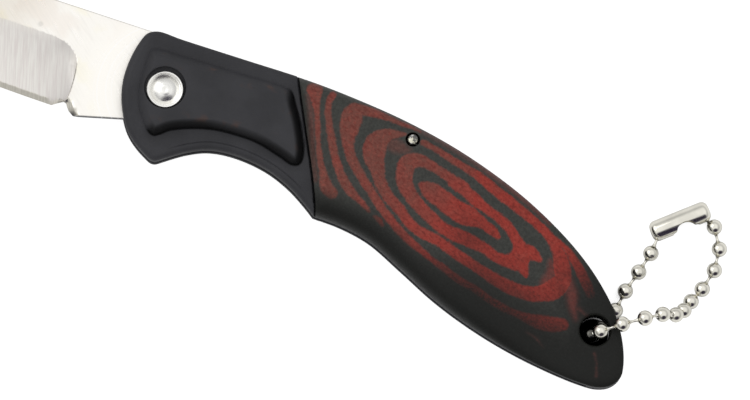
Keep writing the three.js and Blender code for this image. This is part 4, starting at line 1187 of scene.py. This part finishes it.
class KNIFE_OT_add_pivot_rivet(bpy.types.Operator):
    """Adds the headed stem in its headed sleeve, on which the blade turns"""

    bl_idname = "knife.add_pivot_rivet"
    bl_label = "Pivot Rivet"
    bl_options = {"REGISTER", "UNDO"}

    def execute(self, context):
        material = finish("rivet_steel", plain_metal, chosen("rivet"), 0.22, 0.32, 9.0, 0.05)
        foot = STEM_FOOT - RIVET_SEAT
        stem = head_profile() + [(STEM, RIVET_SEAT), (STEM, foot + PIN_CHAMFER)]
        stem += [(STEM - PIN_CHAMFER, foot), (0, foot)]
        add_piece("pivot_rivet_stem", turned(stem), material)
        mouth = SLEEVE_MOUTH - RIVET_SEAT
        bore = STEM + SEAT
        sleeve = head_profile() + [(SLEEVE, RIVET_SEAT), (SLEEVE, mouth), (bore, mouth)]
        sleeve += [(bore, SLEEVE_FLOOR), (0, SLEEVE_FLOOR)]
        add_piece("pivot_rivet_sleeve", turned(sleeve), material, mirrored=True)
        return {"FINISHED"}


class KNIFE_OT_add_washers(bpy.types.Operator):
    """Adds the bronze washers on both sides of the blade"""

    bl_idname = "knife.add_washers"
    bl_label = "Washers"
    bl_options = {"REGISTER", "UNDO"}

    def execute(self, context):
        material = finish("washer_bronze", plain_metal, chosen("bronze"), 0.28, 0.42)
        low, high = BLADE_HALF + SEAT, BLADE_HALF + SEAT + WASHER_THICKNESS
        bore, rim, edge = SLEEVE + SEAT, WASHER_RADIUS, WASHER_EDGE
        profile = [(bore, low), (rim - edge, low), (rim, low + edge)]
        profile += [(rim, high - edge), (rim - edge, high), (bore, high)]
        for node, mirrored in (("front_washer", False), ("rear_washer", True)):
            add_piece(node, turned(profile, closed=True), material, mirrored=mirrored)
        return {"FINISHED"}


class KNIFE_OT_add_pins(bpy.types.Operator):
    """Adds the rocker pin with its domed ends, and the two hidden rivets"""

    bl_idname = "knife.add_pins"
    bl_label = "Pins"
    bl_options = {"REGISTER", "UNDO"}

    def execute(self, context):
        dome = [(r, FACE - ROCKER_PIN_SINK + drop) for r, drop in ROCKER_PIN_DOME]
        pin = placed(turned(end_to_end(dome), 40), (*ROCKER, 0))
        add_piece("rocker_pin", pin, finish("worn_pin", pitted_metal, chosen("rivet")))
        end = PLATE_TOP - SEAT
        half = [(0, end), (HIDDEN_RIVET - PIN_CHAMFER, end), (HIDDEN_RIVET, end - PIN_CHAMFER)]
        for number, place in enumerate(HIDDEN_RIVETS, 1):
            rivet = placed(turned(end_to_end(half), 32), (*place, 0))
            add_piece(f"hidden_rivet_{number}", rivet, lock_steel())
        return {"FINISHED"}


SPINE_STRAIGHT = evenly(np.array([SPINE_LINE[0], LOCK_NOTCH[-1]], float), 0.6)
SPINE = np.vstack([evenly(smooth(SPINE_LINE), OUTLINE_STEP)[::-1], SPINE_STRAIGHT[1:]])
EDGE = evenly(smooth(EDGE_LINE), OUTLINE_STEP)
GRIND = evenly(smooth(GRIND_LINE), 0.3)
GRIND_TOP = GRIND[GRIND[:, 1] > -3.0]
CHOIL_FACET = np.array(CHOIL[3:] + KICK[:2], float)
KICK_EDGE = evenly(np.array(KICK[1:4], float), OUTLINE_STEP)
GROUND_REGION = np.vstack([GRIND, EDGE[::-1][1:], np.array(CHOIL[1:3], float)])


def grind_height(x):
    """Upper limit of the hollow grind at x."""
    return np.interp(x, GRIND_TOP[::-1, 0], GRIND_TOP[::-1, 1])


def blade_zones(points):
    """Share of the hollow grind and of the edge bevel at each point, and the cutting edge's height."""
    x, y = points.T
    edge = np.interp(x, EDGE[::-1, 0], EDGE[::-1, 1])
    ground = inside(points, GROUND_REGION) | ((x < GROUND_FROM) & (y < grind_height(x)))
    bevel = ground & (y < edge + BEVEL_HEIGHT)
    return ground, bevel, edge


def chamfer_drop(points, path, width):
    """How far a chamfer of this width along a path goes down."""
    return np.clip(width - distance(points, path, False), 0, width)


def blade_half(points):
    """Half-thickness of the blade."""
    x, y = points.T
    whole = BLADE_HALF + (BLADE_TIP_HALF - BLADE_HALF) * ease(-x, *BLADE_TAPER)
    ground, _, edge = blade_zones(points)
    grind = np.maximum(grind_height(x), edge + LEAST_GRIND)
    bevel_top = np.minimum(edge + BEVEL_HEIGHT, grind - LEAST_GRIND / 2)
    t = np.clip((grind - y) / (grind - bevel_top), 0, 1)
    by_wheel = (whole - np.minimum(BEVEL_HALF, whole)) * (1 - (1 - t) ** HOLLOW_POWER)
    hollow = whole - by_wheel * np.clip(distance(points, GRIND, False) / PLUNGE_WALL, 0, 1)
    bevel = EDGE_HALF + (hollow - EDGE_HALF) * np.clip((y - edge) / (bevel_top - edge), 0, 1)
    half = np.where(ground, np.where(y < bevel_top, np.minimum(hollow, bevel), hollow), whole)
    on_spine = (y > 0) * (x < SPINE_CHAMFER_END)
    half = half - chamfer_drop(points, SPINE, mm(sizes().spine_chamfer)) * on_spine
    half = half - KICK_CHAMFER_SLOPE * chamfer_drop(points, KICK_EDGE, KICK_CHAMFER) * ~ground
    return half - CHOIL_CHAMFER_SLOPE * chamfer_drop(points, CHOIL_FACET, CHOIL_CHAMFER) * ~ground


def nail_nick(points):
    """Depth of the nail nick in the front face."""
    rho = np.hypot(*((points - NICK_PLACE) / NICK_HALF).T)
    return NICK_DEPTH * np.sqrt(np.clip(1 - rho ** 2, 0, 1))


class KNIFE_OT_add_blade(bpy.types.Operator):
    """Adds the drop-point blade with its tang, hollow grind, choil and kick"""

    bl_idname = "knife.add_blade"
    bl_label = "Blade"
    bl_options = {"REGISTER", "UNDO"}

    def execute(self, context):
        turn = np.radians(np.arange(*TANG_ARC))
        tang = np.column_stack([TANG_RADIUS * np.cos(turn), TANG_RADIUS * np.sin(turn)])
        notch, choil, kick = (np.array(path[::-1], float) for path in (LOCK_NOTCH, CHOIL, KICK))
        outline = np.vstack([SPINE, notch[1:], tang, kick, choil[:-1], EDGE[:-1]])
        bevel_line = EDGE + np.array([0, BEVEL_HEIGHT])
        side = -np.sign(signed_area(np.vstack([GRIND, EDGE[::-1]])))
        lines = [
            (GRIND, False, [side * d for d in GRIND_ROWS]),
            (shifted(GRIND, side * PLUNGE_WALL, False)[2:-3], False, []),
            (bevel_line[2:-2], False, [-0.1, 0.1]),
            (CHOIL_FACET + np.array(CHOIL_CHAMFER_SHIFT), False, [-0.1, 0.1]),
            (KICK_EDGE[1:] + np.array(KICK_CHAMFER_SHIFT), False, []),
        ]
        lines += [(ellipse(NICK_PLACE, np.array(NICK_HALF) * share), True, []) for share in NICK_ROWS]
        vertices, faces, flat = relief(
            [outline, circle((0, 0), SLEEVE + TURNING_FIT)],
            lambda points: blade_half(points) - nail_nick(points),
            lambda points: -blade_half(points), [0.18], lines, fill=0.55,
        )
        ground, bevel, _ = blade_zones(flat)
        facet = ~ground & (distance(flat, CHOIL_FACET, False) < CHOIL_FACET_WIDTH)
        from_plunge = distance(flat, GRIND[GRIND[:, 0] > PLUNGE_FRONT], False)
        # Painted shade, growing towards the plunge
        run_out = sum(strength * np.exp(-from_plunge / reach) for strength, reach in PLUNGE_SHADE_REACH)
        under_kick = distance(flat, KICK_EDGE, False) < ON_EDGE
        along_spine = (distance(flat, SPINE, False) < ON_EDGE) & (flat[:, 0] < SPINE_SHADE_END)
        values = {
            "ground": ground * ease(distance(flat, GRIND, False), -0.3, 0.35),
            "bevel": (bevel | facet) * 1.0,
            "run_out": run_out * ground,
            "shaded": under_kick + SPINE_SHADE * along_spine,
        }
        raised = vertices @ np.array(Matrix.Rotation(-BLADE_RISE, 3, "Z")).T
        material = finish("blade_steel", blade_steel, chosen("steel"))
        add_piece("blade", (raised, faces), material, values, 24)
        return {"FINISHED"}


class KNIFE_OT_add_lock_bar(bpy.types.Operator):
    """Adds the lock bar along the back, with its tooth and rocker boss"""

    bl_idname = "knife.add_lock_bar"
    bl_label = "Lock Bar"
    bl_options = {"REGISTER", "UNDO"}

    def execute(self, context):
        sunk = [(x, LOCK_INSET + LOCK_SINK * ease(x, ROCKER[0], LOCK_TAIL_X)) for x in LOCK_TOP_XS]
        top = np.array([(x, handle_back(x) - depth) for x, depth in sunk])
        depth = LOCK_INSET + LOCK_SINK + LOCK_TAIL_DEPTH
        tail = [(x, handle_back(x) - depth) for x in LOCK_TAIL_XS]
        turn = np.radians(np.arange(*LOCK_BOSS_ARC))
        boss = ROCKER + LOCK_BOSS * np.column_stack([np.cos(turn), np.sin(turn)])
        outline = np.vstack([evenly(smooth(top, 4), 1.0), tail, boss, LOCK_ARM])
        solid = bar(outline, LOCK_HALF, holes=[circle(ROCKER, ROCKER_PIN + TURNING_FIT, 32)])
        add_piece("lock_bar", solid, lock_steel())
        return {"FINISHED"}


# Ball chain


def chain_axis():
    """Direction of the connector."""
    angle = math.radians(CONNECTOR_ANGLE)
    return Vector((math.cos(angle), math.sin(angle), 0))


def bead_centres():
    """Bead centres in order, in millimetres from the pivot, those in the connector first and last."""
    middle = Vector((*CONNECTOR_PLACE, CONNECTOR_AXIS - FACE))
    offset = CONNECTOR_LENGTH / 2 - CONNECTOR_BEAD_INSET
    strand = [Vector((x, y, z - FACE)) for x, y, z in BACK_STRAND + FRONT_STRAND]
    return [middle - offset * chain_axis(), *strand, middle + offset * chain_axis()]


def bead(mouths):
    """Hollow bead whose two mouths, with rolled lips, face its neighbours."""
    first = mouths[0].normalized()
    last = -mouths[-1].normalized() if len(mouths) > 1 else first
    across = first.orthogonal().normalized()
    open_at = math.asin(BEAD_MOUTH / BEAD)
    inner = BEAD - BEAD_WALL
    lip = BEAD - BEAD_WALL * BEAD_LIP_INSET
    profile = [(BEAD, t) for t in np.linspace(0, 1, 21)] + [(lip, 1 + BEAD_LIP)]
    profile += [(inner, t) for t in np.linspace(1, 0, 7)] + [(lip, -BEAD_LIP)]
    turns = [2 * math.pi * k / BEAD_SIDES for k in range(BEAD_SIDES)]
    rings = []
    for radius, t in profile:
        polar = open_at + (math.pi - 2 * open_at) * t
        axis = first.slerp(last, min(max(t, 0), 1)) if first.angle(last) > 1e-4 else first
        u = (across - axis * across.dot(axis)).normalized()
        v = axis.cross(u)
        outward = [math.cos(turn) * u + math.sin(turn) * v for turn in turns]
        rings.append(np.array([radius * (math.cos(polar) * axis + math.sin(polar) * way) for way in outward]))
    return skin(rings, wrapped=True)


def placed(solid, centre, axis=None):
    """A solid about z moved to a centre, with its z axis turned along an axis."""
    vertices, faces = solid[:2]
    if axis is not None:
        turn = np.array(Vector((0, 0, 1)).rotation_difference(axis).to_matrix())
        vertices = vertices @ turn.T
    return vertices + np.array(centre), faces


class KNIFE_OT_add_beads(bpy.types.Operator):
    """Adds the chain's beads"""

    bl_idname = "knife.add_beads"
    bl_label = "Chain Beads"
    bl_options = {"REGISTER", "UNDO"}

    def execute(self, context):
        centres = bead_centres()
        for i, centre in enumerate(centres):
            near = [centres[j] - centre for j in (i - 1, i + 1) if 0 <= j < len(centres)]
            solid = placed(bead(near), centre)
            # Beads deep in the lanyard hole get painted shade
            in_hole = in_lanyard_hole(np.array([centre[:2]]))[0] * (centre.z < BUTT_HALF - BEAD)
            values = {"grimy": np.full(len(solid[0]), HOLE_BEAD_SHADE * in_hole)}
            add_piece(f"chain_bead_{i + 1:02d}", solid, nickel(), values)
        return {"FINISHED"}


class KNIFE_OT_add_links(bpy.types.Operator):
    """Adds the dumbbell links between neighbouring beads"""

    bl_idname = "knife.add_links"
    bl_label = "Chain Links"
    bl_options = {"REGISTER", "UNDO"}

    def execute(self, context):
        centres = bead_centres()
        for i, (a, b) in enumerate(zip(centres, centres[1:]), 1):
            half_length = (b - a).length / 2
            head = [(r, half_length - LINK_HEAD_INSET + z) for r, z in LINK_HEAD]
            neck = max(half_length - BEAD, LINK_LEAST_NECK)
            rod = [(r, neck + z) for r, z in LINK_COLLAR] + [(r, share * neck) for r, share in LINK_TAPER]
            link = turned(end_to_end(head + rod, shared=True), 16)
            add_piece(f"chain_link_{i:02d}", placed(link, (a + b) / 2, b - a), nickel())
        return {"FINISHED"}


def solid_object(solid):
    """An object of its own for cutting, from vertices in millimetres."""
    mesh = bpy.data.meshes.new("cutter")
    mesh.from_pydata(solid[0].tolist(), [], solid[1])
    clean(mesh, JOIN_WITHIN)
    made = bpy.data.objects.new("cutter", mesh)
    bpy.context.scene.collection.objects.link(made)
    return made


def cut_away(body, solid):
    """Cuts a solid out of an object."""
    tool = solid_object(solid)
    cut = body.modifiers.new("cut", "BOOLEAN")
    cut.operation = "DIFFERENCE"
    cut.solver = "EXACT"
    cut.object = tool
    shaped = bpy.data.meshes.new_from_object(body.evaluated_get(bpy.context.evaluated_depsgraph_get()))
    body.modifiers.clear()
    body.data = shaped
    bpy.data.objects.remove(tool)


def box(low, high):
    """Corners and faces of a box."""
    corners = np.array([[(low, high)[k >> axis & 1][axis] for axis in range(3)] for k in range(8)], float)
    return corners, [(0, 2, 3, 1), (4, 5, 7, 6), (0, 1, 5, 4), (2, 6, 7, 3), (0, 4, 6, 2), (1, 3, 7, 5)]


class KNIFE_OT_add_connector(bpy.types.Operator):
    """Adds the slotted barrel, rolled from sheet, that holds the last bead of each strand"""

    bl_idname = "knife.add_connector"
    bl_label = "Chain Connector"
    bl_options = {"REGISTER", "UNDO"}

    def execute(self, context):
        half, r, shoulder = CONNECTOR_LENGTH / 2, CONNECTOR, CONNECTOR_SHOULDER
        turns = np.linspace(0, math.pi / 2, 6)
        outer = [(dimple_r, half + drop) for dimple_r, drop in CONNECTOR_DIMPLE]
        outer += [(r - shoulder * (1 - math.sin(a)), half - shoulder * (1 - math.cos(a))) for a in turns]
        inner_r, inner_end = r - CONNECTOR_WALL, half - CONNECTOR_WALL + CONNECTOR_DIMPLE[0][1]
        chamfer = CONNECTOR_INNER_CHAMFER
        inner = [(0, inner_end), (inner_r - chamfer, inner_end), (inner_r, inner_end - chamfer)]
        body = solid_object(turned(end_to_end(outer), 48))
        cut_away(body, turned(end_to_end(inner), 48))
        for reach, depth in CONNECTOR_NOTCHES:
            rod = turned([(0, -CUTTER_HALF), (1, -CUTTER_HALF), (1, CUTTER_HALF), (0, CUTTER_HALF)], 48)
            vertices, faces = placed(rod, (0, 0, 0), Vector((1, 0, 0)))
            cut_away(body, (vertices * (1, depth, reach) + (0, -r, CONNECTOR_NOTCH_AT), faces))
        cut_away(body, box((-CONNECTOR_SLOT, -2 * r, -half - 1), (CONNECTOR_SLOT, 0, half + 1)))
        axis = chain_axis()
        up = Vector((0, 0, 1))
        turn = Matrix((up, up.cross(axis), axis))
        vertices = np.array([v.co for v in body.data.vertices]) @ np.array(turn)
        vertices = vertices + np.array((*CONNECTOR_PLACE, CONNECTOR - FACE))
        faces = [tuple(face.vertices) for face in body.data.polygons]
        bpy.data.objects.remove(body)
        add_piece("chain_connector", (vertices, faces), nickel(), sharp=30)
        return {"FINISHED"}


# Stage

# Camera: the middle of the picture in millimetres from the pivot, sensor width, and clipping in metres
VIEW_CENTRE = (35.04, -6.3, FACE)
SENSOR = 36
CLIP = (0.01, 20)

# Room: directions from the knife, and light levels as shares of white
BRIGHT_SIDE = (0.2, 0.98, 0)
WALL_LEVELS = (0.26, 0.62)
HORIZON_GLOW = 0.26
OVERHEAD = (0.4, 0.88)
DARK_SIDE = (0.43, -0.70, 0.57)
DARK_SIDE_ANGLES = (38, 19)
DARK_COLOUR = (0.035, 0.03, 0.05)

# Lamp and floor, in metres, and shares of open sky between which the floor goes from dark to light
LAMP_PLACE = (-0.48, 0.08, 0.5)
LAMP_SIZE = 0.6
FLOOR_HALF = 4.0
FLOOR_LEVEL = -0.00005
FLOOR_GREY = 0.4
FLOOR_LIFT = 0.85
SHADOW_REACH = 0.01
SEEN_SHADOW = (0.15, 0.3)
MIRRORED_SHADOW = (0.4, 1.0)
MIRRORED_FLOOR = 0.6


def aim_camera():
    """Camera over the knife, leaning a little towards its belly."""
    stage = bpy.context.scene.knife_stage
    back = Vector((0, -math.sin(stage.tilt), math.cos(stage.tilt)))
    right = Vector((math.cos(stage.turn), math.sin(stage.turn), 0))
    right = (right - back * right.dot(back)).normalized()
    data = bpy.data.cameras.new("camera")
    data.sensor_width = SENSOR
    data.lens = SENSOR * stage.distance / stage.view_width
    data.clip_start, data.clip_end = CLIP
    camera = bpy.data.objects.new("camera", data)
    place = Matrix((right, back.cross(right), back)).transposed().to_4x4()
    place.translation = PIVOT + Vector(VIEW_CENTRE) * MM + back * stage.distance
    camera.matrix_world = place
    bpy.context.scene.collection.objects.link(camera)
    bpy.context.scene.camera = camera


def light_room():
    """Even light for matt surfaces, a studio for mirrors to show, and white for the camera."""
    world = bpy.data.worlds.new("studio")
    world.use_nodes = True
    world.cycles.sampling_method = "NONE"
    bpy.context.scene.world = world
    n = Nodes(world.node_tree)
    path = n.node("ShaderNodeLightPath").outputs
    towards = n.node("ShaderNodeTexCoord").outputs["Generated"]
    height = n.node("ShaderNodeSeparateXYZ", {0: towards}).outputs["Z"]
    brighter = n.vector("DOT_PRODUCT", towards, BRIGHT_SIDE, "Value")
    walls = n.span(brighter, -0.8, 0.8, *WALL_LEVELS, kind="LINEAR")
    walls = n.math("ADD", walls, n.span(height, 0.0, OVERHEAD[0], HORIZON_GLOW, 0.0, kind="LINEAR"))
    room = n.mix(n.span(height, *OVERHEAD), walls, (1, 1, 1))
    darker = n.vector("DOT_PRODUCT", towards, DARK_SIDE, "Value")
    reach = [math.cos(math.radians(angle)) for angle in DARK_SIDE_ANGLES]
    studio = n.mix(n.span(darker, *reach), room, DARK_COLOUR)
    even = (bpy.context.scene.knife_stage.world_level,) * 3
    shown = n.mix(path["Is Camera Ray"], n.mix(path["Is Glossy Ray"], even, studio), (1, 1, 1))
    n.feed(n.tree.nodes["Background"].inputs["Color"], shown)


def add_lamp():
    """Soft square lamp that points at the knife."""
    data = bpy.data.lights.new("softbox", "AREA")
    data.size = LAMP_SIZE
    data.energy = bpy.context.scene.knife_stage.lamp_power
    lamp = bpy.data.objects.new("softbox", data)
    lamp.location = LAMP_PLACE
    lamp.rotation_mode = "QUATERNION"
    lamp.rotation_quaternion = (-Vector(LAMP_PLACE)).to_track_quat("-Z", "Y")
    lamp.visible_camera = False
    bpy.context.scene.collection.objects.link(lamp)


def pale_floor():
    """White to the camera and to mirrors, except in the knife's own shadow, and grey as a surface."""
    material = bpy.data.materials.new("pale_floor")
    material.use_nodes = True
    material.node_tree.nodes.clear()
    n = Nodes(material.node_tree)
    path = n.node("ShaderNodeLightPath").outputs
    open_sky = n.node("ShaderNodeAmbientOcclusion", {"Distance": SHADOW_REACH}, samples=16).outputs["AO"]
    place = n.node("ShaderNodeTexCoord").outputs["Object"]
    # Painted shadow: the floor goes dark under the lanyard hole, by a mask fixed at the hole
    hole = (*(PIVOT.xy + Vector(LANYARD) * MM), FLOOR_LEVEL)
    from_hole = n.vector("DISTANCE", place, hole, "Value")
    outside_hole_shadow = n.span(from_hole, LANYARD_HOLE * MM, 1.15 * LANYARD_HOLE * MM, kind="LINEAR")
    seen_light = n.math("MULTIPLY", n.span(open_sky, *SEEN_SHADOW, kind="LINEAR"), outside_hole_shadow)
    mirrored_light = n.span(open_sky, *MIRRORED_SHADOW, 0.0, MIRRORED_FLOOR, kind="LINEAR")
    in_mirror = n.math("MAXIMUM", path["Is Glossy Ray"], path["Is Transmission Ray"])
    direct = n.math("MULTIPLY", path["Is Camera Ray"], seen_light)
    share = n.math("MAXIMUM", direct, n.math("MULTIPLY", in_mirror, mirrored_light))
    lift = n.node("ShaderNodeEmission", {"Strength": n.math("MULTIPLY", share, FLOOR_LIFT)})
    matte = n.node("ShaderNodeBsdfDiffuse")
    # Painted shadow: the floor's grey darkens where little sky is open, and under the hole
    n.feed(matte.inputs["Color"], n.math("MULTIPLY", seen_light, FLOOR_GREY))
    both = n.node("ShaderNodeAddShader", {0: matte.outputs[0], 1: lift.outputs[0]})
    n.node("ShaderNodeOutputMaterial", {"Surface": both.outputs[0]})
    return material


class KNIFE_OT_add_stage(bpy.types.Operator):
    """Adds the camera, the lamp, the room light and a pale floor"""

    bl_idname = "knife.add_stage"
    bl_label = "Stage"
    bl_options = {"REGISTER", "UNDO"}

    def execute(self, context):
        context.scene.view_settings.view_transform = "Standard"
        aim_camera()
        light_room()
        add_lamp()
        mesh = bpy.data.meshes.new("floor")
        corners = [(-1, -1), (1, -1), (1, 1), (-1, 1)]
        places = [(x * FLOOR_HALF, y * FLOOR_HALF, FLOOR_LEVEL) for x, y in corners]
        mesh.from_pydata(places, [], [(0, 1, 2, 3)])
        mesh.materials.append(pale_floor())
        floor = bpy.data.objects.new("floor", mesh)
        context.scene.collection.objects.link(floor)
        return {"FINISHED"}


# Panel and registration

OPERATORS = [
    KNIFE_OT_add_stage, KNIFE_OT_add_shells, KNIFE_OT_add_panels, KNIFE_OT_add_spacer, KNIFE_OT_add_spring,
    KNIFE_OT_add_pivot_rivet, KNIFE_OT_add_washers, KNIFE_OT_add_pins, KNIFE_OT_add_blade,
    KNIFE_OT_add_lock_bar, KNIFE_OT_add_beads, KNIFE_OT_add_links, KNIFE_OT_add_connector,
]
SETTINGS = {"knife_sizes": KnifeSizes, "knife_colours": KnifeColours, "knife_stage": KnifeStage}


class KNIFE_PT_pieces(bpy.types.Panel):
    """Lists the knife's pieces and settings"""

    bl_label = "Pocket Knife"
    bl_space_type = "VIEW_3D"
    bl_region_type = "UI"
    bl_category = "Knife"

    def draw(self, context):
        for made in OPERATORS:
            self.layout.operator(made.bl_idname)
        for group in SETTINGS:
            settings = getattr(context.scene, group)
            for name in settings.bl_rna.properties.keys():
                if name not in {"rna_type", "name"}:
                    self.layout.prop(settings, name)


CLASSES = [*SETTINGS.values(), *OPERATORS, KNIFE_PT_pieces]


def register():
    for made in CLASSES:
        bpy.utils.register_class(made)
    for group, kind in SETTINGS.items():
        setattr(bpy.types.Scene, group, bpy.props.PointerProperty(type=kind))


def unregister():
    for group in SETTINGS:
        delattr(bpy.types.Scene, group)
    for made in reversed(CLASSES):
        bpy.utils.unregister_class(made)


def main():
    """Makes every piece."""
    register()
    for made in OPERATORS:
        getattr(bpy.ops.knife, made.bl_idname.removeprefix("knife."))()


if __name__ == "__main__":
    main()
